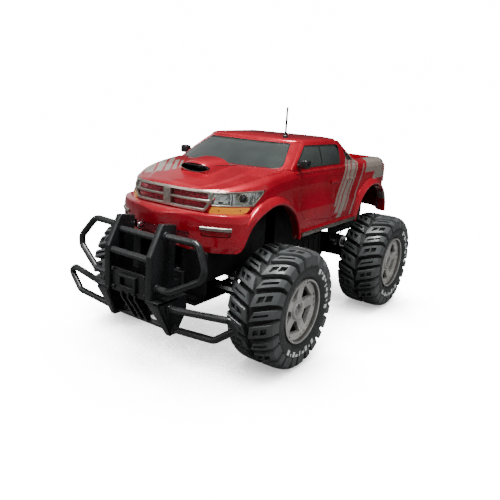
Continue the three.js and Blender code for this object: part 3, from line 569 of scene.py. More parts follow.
# (start, end, foot, top): a slanted band from y - 0.62 z = start to end, between two heights.
SIDE_STRIPES = [
    (-62, -56, 176, 262), (-53, -43, 166, 262), (-40, -26, 158, 262), (-23, -18, 166, 240),
    (2, 6, 158, 232), (14, 52, 218, 240), (52, 104, 206, 240), (104, 124, 150, 240),
]
# (start, end, near, far): a band across the bonnet from 0.8 x + 0.6 y = start to end.
BONNET_STRIPES = [
    (-152, -141, -92, -26), (-138, -129, -96, -20), (-126, -119, -98, -30), (-116, -111, -96, -44),
    (-108, -105, -92, -56),
]


def red_paint():
    m = Material("candy_red_paint", PAINT_RED, 0.3, 0.4, Coat_Weight=1.0, Coat_Roughness=0.05,
                 Coat_IOR=1.45, Specular_IOR_Level=0.15)
    flakes = m.node("TexVoronoi", Vector=m.place, Scale=2600.0).outputs["Color"]
    sparkle = m.node("SeparateXYZ", Vector=flakes).outputs[0]
    tone = m.blend(m.ramp(m.noise(14, 2), 0.35, 0.65), PAINT_DEEP, PAINT_RED)
    flaked = m.blend(m.ramp(sparkle, 0.80, 0.98, 0.0, 0.45), tone, (0.55, 0.03, 0.04))
    silver = m.blend(m.ramp(sparkle, 0.6, 0.98, 0.0, 0.6), STRIPE_SILVER, (0.42, 0.38, 0.34))
    stripes = stripes_mask(m)
    m.set("Base Color", m.blend(stripes, flaked, silver))
    m.set("Roughness", m.ramp(m.noise(60, 3), 0.3, 0.7, 0.26, 0.36))
    m.bump(m.noise(420, 2), 0.035, 0.0002)
    return m.material


def dark_glass():
    m = Material("tinted_windows", (0.022, 0.027, 0.026), 0.07, Coat_Weight=0.6, Coat_Roughness=0.03,
                 Specular_IOR_Level=0.6)
    # Large soft patches of darker and lighter tint across the glass: painted reflections.
    painted_reflection_mottle = m.ramp(m.noise(9, 3), 0.3, 0.75)
    m.set("Base Color", m.blend(painted_reflection_mottle, (0.014, 0.018, 0.018), (0.042, 0.05, 0.047)))
    m.set("Roughness", m.ramp(m.noise(25, 3), 0.3, 0.7, 0.05, 0.12))
    m.bump(m.noise(12, 2), 0.04, 0.0006)
    return m.material


def rubber(name, color, roughness, grain_strength):
    m = Material(name, color, roughness, Specular_IOR_Level=0.4)
    dust = m.ramp(m.noise(35, 5, 0.6), 0.45, 0.75)
    m.set("Base Color", m.blend(m.times(dust, 0.35), color, tuple(c * 1.9 + 0.004 for c in color)))
    m.set("Roughness", m.ramp(m.noise(110, 4), 0.25, 0.75, roughness - 0.09, roughness + 0.08))
    m.bump(m.noise(1500, 2), grain_strength, 0.00015)
    m.bump(m.noise(90, 3), grain_strength * 0.6, 0.0004)
    return m.material


def red_mesh_paint():
    m = Material("grille_red", (0.5, 0.04, 0.08), 0.35, 0.3, Coat_Weight=0.5)
    m.set("Roughness", m.ramp(m.noise(200, 3), 0.3, 0.7, 0.28, 0.45))
    m.set("Base Color", m.blend(m.ramp(m.noise(300, 2), 0.4, 0.6), (0.38, 0.025, 0.05), (0.6, 0.06, 0.1)))
    return m.material


def clear_cover():
    m = Material("clear_lamp_cover", (0.95, 0.97, 0.96), 0.03, Transmission_Weight=1.0, IOR=1.2,
                 Specular_IOR_Level=0.7)
    m.set("Roughness", m.ramp(m.noise(150, 2), 0.4, 0.7, 0.02, 0.06))
    return m.material


def tinted_lens(name, color):
    m = Material(name, color, 0.12, Coat_Weight=1.0, Coat_Roughness=0.04, Subsurface_Weight=0.25,
                 Subsurface_Radius=(0.004, 0.002, 0.001))
    ribs = m.node("TexWave", {"wave_type": "BANDS", "bands_direction": "Z"}, Vector=m.place,
                  Scale=260.0).outputs["Fac"]
    m.set("Base Color", m.blend(m.ramp(ribs, 0.3, 0.7), tinted(color, 0.72), color))
    m.bump(ribs, 0.2, 0.0003)
    return m.material


def board_green():
    m = Material("circuit_board", (0.004, 0.03, 0.014), 0.35, Coat_Weight=0.4)
    tracks = m.node("TexBrick", {"offset": 0.5}, Vector=m.place, Scale=160.0).outputs["Fac"]
    m.set("Base Color", m.blend(tracks, (0.003, 0.022, 0.01), (0.012, 0.05, 0.025)))
    m.bump(tracks, 0.3, 0.0002)
    return m.material


RED_PAINT = red_paint()
DARK_GLASS = dark_glass()
BLACK = plastic("black_plastic", (0.007, 0.0075, 0.008), 0.3, grain=1300, grain_strength=0.08,
                edge=(0.03, 0.031, 0.032), Specular_IOR_Level=0.35)
BLACK_ROUGH = plastic("chassis_plastic", (0.006, 0.006, 0.0062), 0.5, grain=700, grain_strength=0.2,
                      edge=(0.02, 0.02, 0.02), Specular_IOR_Level=0.2)
INNER_RED = plastic("shell_inside", (0.10, 0.018, 0.016), 0.5, grain=300, edge=(0.16, 0.03, 0.03))
SILVER_TRIM = metal("champagne_trim", (0.45, 0.415, 0.365), 0.36, streaks=(300, 300, 300))
CHROME = plastic("lamp_reflector", (0.68, 0.71, 0.7), 0.25, grain=200, edge=(0.8, 0.82, 0.81), Metallic=0.4)
RIM_METAL = plastic("silver_rim", (0.40, 0.395, 0.375), 0.3, grain=900, grain_strength=0.03,
                    edge=(0.5, 0.5, 0.48), Metallic=0.45)
RIM_INNER = plastic("rim_barrel", (0.10, 0.095, 0.088), 0.35, grain=900, grain_strength=0.03,
                    edge=(0.3, 0.29, 0.27), Metallic=0.45)
RIM_LIP = plastic("bright_lip", (0.5, 0.49, 0.47), 0.2, grain=900, grain_strength=0.02,
                  edge=(0.7, 0.69, 0.67), Metallic=0.7)
STEEL = metal("steel", (0.56, 0.57, 0.58), 0.26)
# Near-black steel for the coil springs, much darker than bare steel.
DARK_STEEL = metal("near_black_spring_steel", (0.10, 0.10, 0.105), 0.3)
# The lugs' rubber is painted lighter than the sidewall's: a painted highlight where light falls on the tread
# from above. Lugs and sidewall are one rubber.
LIT_TREAD_RUBBER = rubber("tread_rubber_painted_lit", (0.05, 0.054, 0.054), 0.36, 0.1)
SIDEWALL_RUBBER = rubber("sidewall_rubber", (0.02, 0.0225, 0.022), 0.45, 0.06)
# The tread's floor between the lugs is painted near black: painted shade in the grooves, on what is the lugs'
# own rubber.
SHADED_GROOVE_RUBBER = rubber("groove_rubber_painted_shade", (0.008, 0.008, 0.008), 0.7, 0.1)
TYRE_MARK = rubber("pale_tyre_marks", (0.52, 0.54, 0.54), 0.5, 0.1)
GRILLE_RED = red_mesh_paint()
CLEAR = clear_cover()
AMBER = tinted_lens("amber_lens", (0.85, 0.36, 0.02))
RED_LENS = tinted_lens("red_lens", (0.36, 0.006, 0.008))
LENS_GLASS = plastic("projector_lens", (0.012, 0.014, 0.018), 0.1, grain_strength=0.0, Coat_Weight=1.0)
NYLON = plastic("natural_nylon", (0.62, 0.60, 0.55), 0.45, grain=500, edge=(0.7, 0.68, 0.63))
BATTERY_WRAP = plastic("battery_wrap", (0.02, 0.09, 0.28), 0.25, grain=80, edge=(0.05, 0.15, 0.35))
BOARD = board_green()


# ---------------------------------------------------------------- body shell

LOWER_HALF_WIDTH = curve(
    (-207, 12), (-206, 24), (-204, 36), (-200, 50), (-194, 64), (-187, 76), (-178, 88), (-167, 96.5),
    (-150, 100), (-100, 100.5), (215, 100.5), (232, 98), (242, 92), (248, 84), (250, 76))
UPPER_HALF_WIDTH = curve(
    (-189, 24), (-188, 40), (-185, 54), (-180, 65), (-172, 75), (-162, 83), (-150, 90), (-138, 95),
    (-120, 97.5), (-90, 98), (218, 98), (232, 95.5), (241, 90), (246, 82), (248, 74))
LEDGE_HEIGHT = curve(
    (-207, 184), (-206.6, 187), (-205, 189.6), (-202, 190.8), (-196, 191), (236, 191), (246, 189),
    (250, 185))
BOTTOM_HEIGHT = curve(
    (-207, 156), (-205.5, 152.5), (-202, 149.5), (-196, 147.6), (-188, 147), (238, 147), (246, 149),
    (250, 153))
CREST_HEIGHT = curve(
    (-189, 211.5), (-187.5, 214.2), (-184, 216), (-172, 218), (-150, 222.5), (-125, 228.5), (-100, 233),
    (-75, 236), (0, 237.5), (200, 238), (232, 237), (243, 235), (248, 229))
BONNET_HEIGHT = curve(
    (-189, 213), (-187.5, 215.6), (-184, 217.6), (-172, 220.5), (-150, 226), (-125, 232), (-100, 236.5),
    (-75, 239.5), (0, 239), (200, 238.5), (232, 237.5), (243, 235.5), (248, 229.5))


def stations(*stretches):
    """Places along the truck: each stretch is (start, end, step)."""
    places = []
    for start, end, step in stretches:
        count = max(2, round((end - start) / step) + 1)
        places += spread(start, end, count)[:-1]
    return places + [stretches[-1][1]]


LOWER_STATIONS = stations((-207, -204, 0.5), (-204, -188, 1.6), (-188, -150, 3), (-150, 215, 9),
                          (215, 240, 3), (240, 250, 1))
UPPER_STATIONS = stations((-189, -184, 0.5), (-184, -140, 2.5), (-140, -70, 4), (-70, 215, 9),
                          (215, 240, 3), (240, 248, 1))


def across(half, y):
    """A closed ring across the truck from half a section, given from the bottom edge up to the middle."""
    left = [(p[0], y, p[1]) for p in half]
    return left + [(-x, y, z) for x, y, z in reversed(left) if x > 0]


def pulled_in(places, y, inset):
    """A station moved inwards from both ends of a row by the inset."""
    share = (y - places[0]) / (places[-1] - places[0])
    return y + inset * (1 - 2 * share)


def lower_body(inset):
    """The body from its sill to its ledge, all round moved inwards by an inset."""
    rings = []
    for y in LOWER_STATIONS:
        w = LOWER_HALF_WIDTH(y) - inset
        bottom = BOTTOM_HEIGHT(y) if inset <= 0 else SILL_Z - 5
        top = LEDGE_HEIGHT(y) - inset
        corners = [(w - 3.5, bottom), (w - 0.4, bottom + 7), (w, min(164, top - 8)), (w - 0.3, top - 9),
                   (w - 2.5, top), (0, top)]
        section = rounded(corners, [0, 4, 12, 6, 4, 0], 4, closed=False)
        rings.append(across(section, pulled_in(LOWER_STATIONS, y, inset)))
    return skin("lower_body", rings)


def upper_section(y, inset):
    w = UPPER_HALF_WIDTH(y) - inset
    crest = CREST_HEIGHT(y) - inset
    middle = BONNET_HEIGHT(y) - inset
    rise = middle - crest
    corners = [(w + 0.6, LEDGE_Z - 12), (w + 0.4, crest - 23), (w - 0.6, crest - 12),
               (w - 3.6, crest - 3.6), (w - 12, crest), (w * 0.66, crest + 0.3 * rise),
               (w * 0.6, crest + 0.75 * rise), (0, middle + 0.6)]
    return rounded(corners, [0, 8, 9, 8, 9, 3, 4, 0], 4, closed=False)


def upper_body(inset):
    """The body from its ledge to the bonnet and the bed's rails, moved inwards by an inset."""
    return skin("upper_body", [across(upper_section(y, inset), pulled_in(UPPER_STATIONS, y, inset))
                               for y in UPPER_STATIONS])


# Half of the cab's plan, from the middle of the windscreen to the middle of the rear wall.
CAB_BASE = [(0, -92), (42, -88.5), (70, -81), (84, -74), (90, -66), (93, -55), (93.5, 20), (92.5, 88),
            (88, 96), (60, 99), (0, 100)]
CAB_TOP = [(0, -34), (36, -32.5), (58, -29.5), (68, -26), (75, -21), (79.5, -13), (81, 20), (79.5, 70),
           (74, 78), (50, 81), (0, 82)]
# (height over the roof edge, distance inwards, share of the way to the middle)
ROOF_RINGS = [(1.4, 0.7, 0), (2.6, 2.0, 0), (3.6, 4.0, 0), (4.5, 7.0, 0), (5.4, 7, 0.09), (6.2, 7, 0.2),
              (6.8, 7, 0.36), (7.1, 7, 0.54), (7.2, 7, 0.72), (7.25, 7, 0.9)]
ROOF_MIDDLE_Y = 24
CAB_BULGE = 1.3


def plan(share):
    """The cab's half plan between its base (0) and its top (1), as a fine smooth path."""
    points = [
        (bx + (tx - bx) * share, by + (ty - by) * share, 0)
        for (bx, by), (tx, ty) in zip(CAB_BASE, CAB_TOP)
    ]
    return through(points, 6)


def cab_ring(share, z, inset, inwards=0.0):
    """A level ring round the cab, with a share of the way inwards to the roof's middle."""
    path = plan(share)
    ring = []
    for i, p in enumerate(path):
        along = path[min(i + 1, len(path) - 1)] - path[max(i - 1, 0)]
        out = Vector((along.y, -along.x, 0)).normalized()
        if i in (0, len(path) - 1):
            out = Vector((0, -1 if i == 0 else 1, 0))
        q = p - out * inset
        ring.append((max(q.x, 0) * (1 - inwards), q.y + (ROOF_MIDDLE_Y - q.y) * inwards, z))
    return ring + [(-x, y, h) for x, y, h in reversed(ring[1:-1])]


def cab(inset):
    """The cab with its roof, moved inwards by an inset."""
    bottom = LEDGE_Z + 4 if inset > 0 else BELT_Z - 10
    rings = [cab_ring(0, bottom, inset)]
    for share in spread(0, 1, 7):
        swell = CAB_BULGE * 4 * share * (1 - share)
        z = BELT_Z + (ROOF_EDGE_Z - BELT_Z) * share - inset * 0.5 * share
        rings.append(cab_ring(share, z, inset - swell))
    for rise, edge, inwards in ROOF_RINGS:
        rings.append(cab_ring(1, ROOF_EDGE_Z + rise - inset, inset + edge, inwards))
    return skin("cab", rings)


SAIL_FOOT, SAIL_HEIGHT = BELT_Z - 6, ROOF_EDGE_Z + 7.5 - BELT_Z


def sail_outer(share):
    """How far the strut beside the quarter window stands out, from its foot (0) to its top (1)."""
    return 94.5 - 13.2 * share**1.15


def sail_panel(side):
    """A tapered strut from the cab's rear corner down to the bed rail."""
    rings = []
    for share in spread(0, 1, 8):
        z = SAIL_FOOT + SAIL_HEIGHT * share
        outer = sail_outer(share)
        back = 131 - 52 * share ** 0.9
        outline = [(outer - 9, 66), (outer, 66), (outer, back), (outer - 9, back)]
        rings.append([(side * x, y, z) for x, y in flat(outline, 2.5, 3)])
    return skin("sail", rings)


def arch_tools(axle_y):
    """The blocks that cut a pair of wheel arches out of the body."""
    outline = circle(axle_y, ARCH_Z, ARCH_RADIUS, 49, 0, math.pi)
    outline += [(axle_y - ARCH_RADIUS, SILL_Z - 14), (axle_y + ARCH_RADIUS, SILL_Z - 14)]
    return [prism("x", outline, *side_reach(side, 66, 120)) for side in (LEFT, RIGHT)]


def arch_flare(side, axle_y):
    """A rounded lip round a wheel arch, thickest at the top. The front one runs into the bumper."""
    section = flat([(0, 0), (1, 0), (1, 1), (0, 1)], [0, 0.32, 0.25, 0], 4)
    start = math.asin((SILL_Z - ARCH_Z) / (ARCH_RADIUS + 10))
    fade_start, fade_end = (math.radians(degrees) for degrees in FLARE_FADE)
    fade = curve((fade_start, 0), (fade_end, 1 if axle_y < 0 else 0))
    rings = []
    for angle in spread(start, math.pi - start, 61):
        band_width = FLARE_WIDTH + FLARE_SWELL * math.sin(angle)
        bulge = FLARE_X - FLARE_DIP * (1 - math.sin(angle))
        ring = []
        for out, across_band in section:
            r = ARCH_RADIUS + band_width * across_band
            y = axle_y + r * math.cos(angle)
            flush = LOWER_HALF_WIDTH(y) - 0.8
            reach = bulge + (flush - bulge) * fade(angle)
            back = min(FLARE_ROOT_X, flush - 4)
            x = back + (reach - back) * out
            if out > 0:
                slope = 0.9 * max(0, across_band - 0.35) / 0.65
                x -= max(0, reach - SKIN_X - 0.5) * slope
            ring.append((side * x, y, ARCH_Z + r * math.sin(angle)))
        rings.append(ring)
    return skin("flare", rings)


SCOOP_FOOT_Z, SCOOP_MIDDLE_Z = 222, 233.2
SCOOP_HALF_WIDTH, SCOOP_HALF_HEIGHT = 21.5, 5.2


def bonnet_scoop():
    """A low bulge on the bonnet with an oval mouth."""
    half_width = curve((-146, 20.5), (-143, 22.4), (-138, 24), (-125, 27), (-105, 33), (-86, 40),
                       (-72, 46))
    top = curve((-146, 236), (-143, 239.6), (-138, 241.4), (-128, 243.4), (-108, 245.2), (-88, 244.2),
                (-72, 240.5))
    rings = []
    for y in stations((-146, -138, 0.8), (-138, -72, 3.5)):
        w, h = half_width(y), top(y)
        spring_z = SCOOP_FOOT_Z + 2
        arch = [(w * 1.12, y, SCOOP_FOOT_Z)]
        for a in spread(0.12, math.pi - 0.12, 33):
            across_share = math.copysign(abs(math.cos(a)) ** 0.72, math.cos(a))
            arch.append((w * across_share, y, spring_z + (h - spring_z) * math.sin(a) ** 0.8))
        rings.append([*arch, (-w * 1.12, y, SCOOP_FOOT_Z)])
    return skin("scoop", rings)


def scoop_oval(grow):
    """The outline of the scoop's mouth, grown by a distance."""
    return [(u * (SCOOP_HALF_WIDTH + grow), SCOOP_MIDDLE_Z + v * (SCOOP_HALF_HEIGHT + grow))
            for u, v in circle(0, 0, 1, 48)]


SIDE_WINDOW = [(-60, 236.4), (-19, 263.4), (74, 262.6), (67, 236.4)]
QUARTER_WINDOW = [(92, 239.5), (84.5, 256), (112, 239.5)]
WINDSCREEN = [(-84, 236.5), (-66, 264.8), (66, 264.8), (84, 236.5)]
REAR_WINDOW = [(-68, 243), (-62, 262), (62, 262), (68, 243)]


def shrunk(outline, distance):
    """An outline with each point moved inwards."""
    points = [Vector((*p, 0)) for p in outline]
    turn = math.copysign(1, sum(points[i - 1].cross(p).z for i, p in enumerate(points)))
    result = []
    for i, p in enumerate(points):
        before = (p - points[i - 1]).normalized()
        after = (points[(i + 1) % len(points)] - p).normalized()
        off_before, off_after = (Vector((-v.y, v.x, 0)) * turn for v in (before, after))
        inward = (off_before + off_after).normalized()
        q = p + inward * distance / max(0.4, inward.dot(off_after))
        result.append((q.x, q.y))
    return result


WINDOW_CUTS = {
    "side": ("x", flat(SIDE_WINDOW, [6, 7, 7, 5])),
    "quarter": ("x", flat(QUARTER_WINDOW, 1.6)),
    "windscreen": ("y", flat(WINDSCREEN, 5)),
    "rear": ("y", flat(REAR_WINDOW, 4)),
}
REACH = {"windscreen": (-110, -20), "rear": (72, 120)}


def side_reach(side, low=70, high=104):
    return sorted((side * low, side * high))


# The grille's outline, and the lamp's as (distance along the corner, height) on a slanted plane.
GRILLE = [(-60.5, 215.4), (-61.5, 205), (-54.5, 192.4), (54.5, 192.4), (61.5, 205), (60.5, 215.4)]
LAMP_START, LAMP_END = Vector((61, -181, 0)), Vector((99, -127, 0))
LAMP = [(-1, 199.4), (-3, 213.9), (30, 215.4), (65, 217), (47, 199.4)]
AMBER_STRIP = [(-4, 191.2), (-1, 198.2), (44, 198.2), (39, 192.4), (30, 190.2), (2, 189.6)]
LAMP_ALONG = (LAMP_END - LAMP_START).normalized()
LAMP_OUT = Vector((LAMP_ALONG.y, -LAMP_ALONG.x, 0))


def lamp_point(side, s, z, out):
    p = LAMP_START + LAMP_ALONG * s + LAMP_OUT * out
    return Vector((side * p.x, p.y, z))


def lamp_prism(side, outline, low, high):
    """A block over the headlight's outline, between two distances out from its slanted plane."""
    return solid(*[[lamp_point(side, s, z, out) for s, z in outline] for out in (low, high)])


FOG_RECESS = [(58, 165.8), (57, 177), (88.5, 177), (87, 165.8)]
LOWER_INTAKE = [(-44, 158), (-46, 170), (46, 170), (44, 158)]


def shell_solid():
    """The outside of the body as one solid, with the bed open."""
    body = combine(lower_body(0), "UNION", upper_body(0), cab(0), bonnet_scoop(), sail_panel(LEFT),
                   sail_panel(RIGHT))
    bed = flat([(-BED_HALF_WIDTH, BED_FRONT), (BED_HALF_WIDTH, BED_FRONT), (BED_HALF_WIDTH, BED_BACK),
                (-BED_HALF_WIDTH, BED_BACK)], 5)
    return combine(body, "DIFFERENCE", prism("z", bed, BED_FLOOR, 290))


def shell_hollow():
    hollow = combine(lower_body(SHELL_WALL), "UNION", upper_body(SHELL_WALL), cab(SHELL_WALL))
    wall = SHELL_WALL
    return combine(
        hollow, "DIFFERENCE",
        box((-BED_HALF_WIDTH - wall, BED_HALF_WIDTH + wall), (BED_FRONT - wall, BED_BACK + wall),
            (BED_FLOOR - wall, 290)),
        box((-30, 30), (-147, -120), (225, 250)))


def surface_path(surface, kind, points, lift):
    """A closely spaced path a little above the body through (u, v) points."""
    hits = [surface.hit(kind, u, v) for u, v in spaced(points, 2.0)]
    return [point + normal * lift for point, normal in hits if point is not None]


DOOR_LINE = flat([(-46, 236), (-52, 226), (-49, 185), (-36, 168), (36, 161), (46, 178), (44, 214),
                  (31, 236)], 6, 5, closed=False)
REAR_DOOR_LINE = flat([(42, 163), (92, 160), (104, 172), (106, 200), (100, 236)], 8, 5, closed=False)
BONNET_LINE = flat([(62, -183.5), (66, -168), (84, -120), (90, -88), (86, -74)], 14, 5, closed=False)
TAILGATE_LINE = flat([(-70, 233), (-70, 196), (70, 196), (70, 233)], 3, 5, closed=False)
ROOF_LINE = flat([(30, 76), (40, 60), (44, 10), (34, -8), (-34, -8), (-44, 10), (-40, 60), (-30, 76)],
                 9, 5, closed=False)
GRILLE_GAP = [(-72, 191.9), (72, 191.9)]
BUMPER_STEP = [(47, 190), (47, 172), (50, 158), (50, 150)]
# (face of the body, path, height over the body, radius, whether the other side has it too)
GROOVES = [
    ("side", DOOR_LINE, 0.15, 0.8, True), ("side", REAR_DOOR_LINE, 0.15, 0.8, True),
    ("top", BONNET_LINE, 0.15, 0.8, True), ("front", BUMPER_STEP, 0.2, 0.5, True),
    ("back", TAILGATE_LINE, 0.2, 0.8, False), ("front", GRILLE_GAP, 0.0, 1.0, False),
    ("top", ROOF_LINE, 0.25, 0.6, False),
]
GRILLE_HOLE = flat(GRILLE, [2, 3, 3, 3, 3, 2])


def grooves(surface):
    """The round tools that cut the shut lines."""
    tools = []
    for kind, points, lift, radius, both in GROOVES:
        path = surface_path(surface, kind, points, lift)
        tools.append(tube(path, radius, sides=1))
        if both:
            tools.append(tube([(-p.x, p.y, p.z) for p in path], radius, sides=1))
    return tools


def build_shell():
    """The painted shell, and the surface of its outside before anything was cut from it."""
    outside = shell_solid()
    surface = Surface(outside)
    tools = grooves(surface)
    shell = combine(outside, "DIFFERENCE", shell_hollow())
    for side in (LEFT, RIGHT):
        tools.append(prism("x", WINDOW_CUTS["side"][1], *side_reach(side)))
        tools.append(prism("x", WINDOW_CUTS["quarter"][1], *side_reach(side, 78)))
        tools.append(lamp_prism(side, LAMP, -4, 30))
        tools.append(prism("y", [(side * x, z) for x, z in flat(FOG_RECESS, 3)], -230, -150))
    for name in ("windscreen", "rear"):
        tools.append(prism("y", WINDOW_CUTS[name][1], *REACH[name]))
    tools.append(prism("y", scoop_oval(0), -150, -122))
    tools.append(prism("y", GRILLE_HOLE, -200, -165))
    tools.append(prism("y", flat(LOWER_INTAKE, 3), -220, -190))
    for axle_y in AXLE_Y.values():
        tools += arch_tools(axle_y)
    combine(shell, "DIFFERENCE", *tools)
    flares = [arch_flare(side, y) for side in (LEFT, RIGHT) for y in AXLE_Y.values()]
    combine(shell, "UNION", *flares, rocker(LEFT), rocker(RIGHT))
    combine(shell, "DIFFERENCE", bumper_corner(LEFT), bumper_corner(RIGHT))
    return shell, surface


def bumper_corner(side):
    """Rounds the bumper's lower corner where it runs up into the front arch."""
    radius, front = 13, AXLE_Y["front"]
    rise = SILL_Z + radius - ARCH_Z
    middle = front - math.sqrt((ARCH_RADIUS + radius) ** 2 - rise**2)
    foot = -math.atan2(rise, front - middle)
    outline = [(middle + radius * math.cos(a), SILL_Z + radius + radius * math.sin(a))
               for a in spread(-math.pi / 2, foot, 12)]
    outline += [(front - 40, outline[-1][1]), (front - 40, SILL_Z - 5), (middle, SILL_Z - 5)]
    return prism("x", outline, *side_reach(side, 60, 120))


def rocker(side):
    """The raised sill under the doors, with ends that run into the wheel arches."""
    rings = []
    start, end = AXLE_Y["front"] + 59, AXLE_Y["rear"] - 59
    for y in spread(start, end, 12):
        lean = 3 * min(1, (y - start) / 8, (end - y) / 8)
        corners = [(97, 147), (101 + lean, 147.4), (101.4 + lean, 155), (97, 158)]
        rings.append([(side * x, y, z) for x, z in flat(corners, [0, 1.2, 1.6, 0], 3)])
    return skin("rocker", rings)


def paint_inside(shell):
    """Gives the hollow side of the shell a duller red than the painted outside."""
    painted(shell, RED_PAINT)
    shell.data.materials.append(INNER_RED)
    tree = Surface(shell).tree
    farthest, under_roof = 260, ROOF_EDGE_Z - 4
    for face in shell.data.polygons:
        centre = face.center / MM
        blocked = tree.ray_cast(centre + face.normal * 0.05, face.normal, farthest)[0] is not None
        to_axle = min(math.hypot(centre.y - y, centre.z - ARCH_Z) for y in AXLE_Y.values())
        arch = to_axle < ARCH_RADIUS + 0.6
        along_bed = BED_FRONT - 1 < centre.y < BED_BACK + 1
        bed = along_bed and abs(centre.x) < BED_HALF_WIDTH + 1 and centre.z > BED_FLOOR - 1
        inner = blocked and not bed and abs(centre.x) < SKIN_X and centre.z < under_roof
        if inner and not (arch and abs(centre.x) > SKIN_X - 2):
            face.material_index = 1


shell, SURFACE = build_shell()
paint_inside(shell)
shell.name = "painted_body_shell"
finished(shell, "chassis", replaces=["body_shell"], angle=28)
# ---------------------------------------------------------------- trim that lies on the body


def fixed(name, obj, material, *nodes, angle=32):
    """A finished piece that rides on the chassis, in place of the given CAD nodes."""
    obj.name = name
    return finished(obj, "chassis", material, nodes, angle)


def strip(kind, points, width, out, under=1.2, side=LEFT, closed=False, corner=0.35, step=2.5):
    """A trim strip with a rounded section, laid along a path on the body."""
    places = spaced([*points, points[0]], step)[:-1] if closed else spaced(points, step)
    hits = [SURFACE.hit(kind, u, v, side) for u, v in places]
    hits = [hit for hit in hits if hit[0] is not None]
    count, half = len(hits), width / 2
    section = flat([(-half, -under), (half, -under), (half, out), (-half, out)], [0, 0, corner, corner], 3)
    rings = []
    for i, (point, _) in enumerate(hits):
        near = [(i + k) % count if closed else min(max(i + k, 0), count - 1) for k in (-2, -1, 0, 1, 2)]
        normal = sum((hits[k][1] for k in near), Vector()).normalized()
        along = (hits[near[3]][0] - hits[near[1]][0]).normalized()
        across_path = along.cross(normal).normalized()
        rings.append([point + across_path * u + normal * v for u, v in section])
    return skin("strip", rings, round_path=closed)


def lattice(cell, spacing, depth, radius=0.42):
    """Crossed wires behind the body's front inside a cell, given as left, right, low and high."""
    left, right, low, high = cell
    paths = []
    rise = high - low
    for lean in (1, -1):
        start = left - rise
        while start < right:
            ends = []
            for t in spread(0, 1, 9):
                u = start + rise * (t if lean > 0 else 1 - t)
                if left <= u <= right:
                    ends.append(SURFACE.hit("front", u, low + rise * t)[0] + Vector((0, depth, 0)))
            if len(ends) > 1:
                paths.append(ends)
            start += spacing
    return tubes(paths, radius)


def layer(body, low, high, tool):
    """The layer of a body between two insets, as far as it lies inside a tool."""
    return combine(combine(body(low), "DIFFERENCE", body(high)), "INTERSECT", tool)


# ---------------------------------------------------------------- windows


def pane(name, cut, reach, node):
    """A window that follows the cab, a little inside its skin."""
    axis, outline = WINDOW_CUTS[cut]
    glass = layer(cab, 0.75, 2.6, prism(axis, shrunk(outline, 0.25), *reach))
    fixed(name, glass, DARK_GLASS, node)


def quarter_pane(side):
    """The small window that lies against the strut behind the cab."""

    def against_strut(p):
        share = max(0.0, (p.z - SAIL_FOOT) / SAIL_HEIGHT)
        return Vector((side * (sail_outer(share) + p.x), p.y, p.z))

    glass = prism("x", shrunk(WINDOW_CUTS["quarter"][1], 0.2), -3.2, -1.4)
    fixed(f"quarter_window_{SIDE_NAME[side]}", mapped(glass, against_strut), DARK_GLASS)


def gasket(name, kind, cut, side=LEFT):
    """The black seal round a window."""
    outline = WINDOW_CUTS[cut][1]
    fixed(name, strip(kind, outline, 1.0, 0.12, 1.6, side, closed=True), BLACK)


pane("windscreen_glass", "windscreen", REACH["windscreen"], "windscreen")
pane("rear_window_glass", "rear", REACH["rear"], "rear_window")
gasket("windscreen_seal", "front", "windscreen")
for side in (LEFT, RIGHT):
    tag = SIDE_NAME[side]
    pane(f"side_window_glass_{tag}", "side", side_reach(side), f"side_window_{tag}")
    quarter_pane(side)
    gasket(f"side_window_seal_{tag}", "side", "side", side)
    fixed(f"window_post_{tag}", strip("side", [(14, 239), (17, 262)], 2.6, -0.35, 1.5, side), BLACK)


# ---------------------------------------------------------------- grille


def grille():
    """The silver frame, the red wires in its openings and the red plate behind them."""
    frame_pieces = [
        strip("front", shrunk(GRILLE_HOLE, 1.4), 3.6, 1.9, 4.5, closed=True, corner=1.1, step=1.5),
        strip("front", [(-60, 204.3), (60, 204.3)], 3.0, 1.7, 4.5, corner=1.0),
        strip("front", [(0, 194), (0, 214.5)], 11.5, 2.4, 4.5, corner=1.2),
        strip("front", [(0, 195.5), (0, 213)], 6.5, 3.0, 1.0, corner=1.0),
    ]
    fixed("grille_frame", merged("frame", frame_pieces), SILVER_TRIM, "grille")
    wires = []
    for left, right, low, high in ((7, 60, 206, 213), (7, 55, 196, 202.5)):
        wires.append(lattice((left, right, low, high), 2.5, 3.4))
        wires.append(lattice((-right, -left, low, high), 2.5, 3.4))
    fixed("grille_mesh", merged("mesh", wires), GRILLE_RED)
    backing = layer(upper_body, 4.0, 5.4, prism("y", shrunk(GRILLE, 1.5), -200, -165))
    fixed("grille_backing", backing, GRILLE_RED)


grille()


# ---------------------------------------------------------------- headlights and tail lights

LAMP_OUTLINE = flat(LAMP, [1.5, 1.5, 2, 3, 2])
PROJECTOR = (36, 207.6)


def lamp_disc(side, radius, low, high):
    return lamp_prism(side, circle(*PROJECTOR, radius, 40), low, high)


def lamp_dome(side, s, z, radius, base, height):
    """A shallow dome that faces out of the lamp."""
    rings = []
    for t in spread(0.0, 0.98 * math.pi / 2, 9):
        out = base + height * math.sin(t)
        rings.append([lamp_point(side, u, v, out) for u, v in circle(s, z, radius * math.cos(t), 36)])
    return skin("dome", rings)


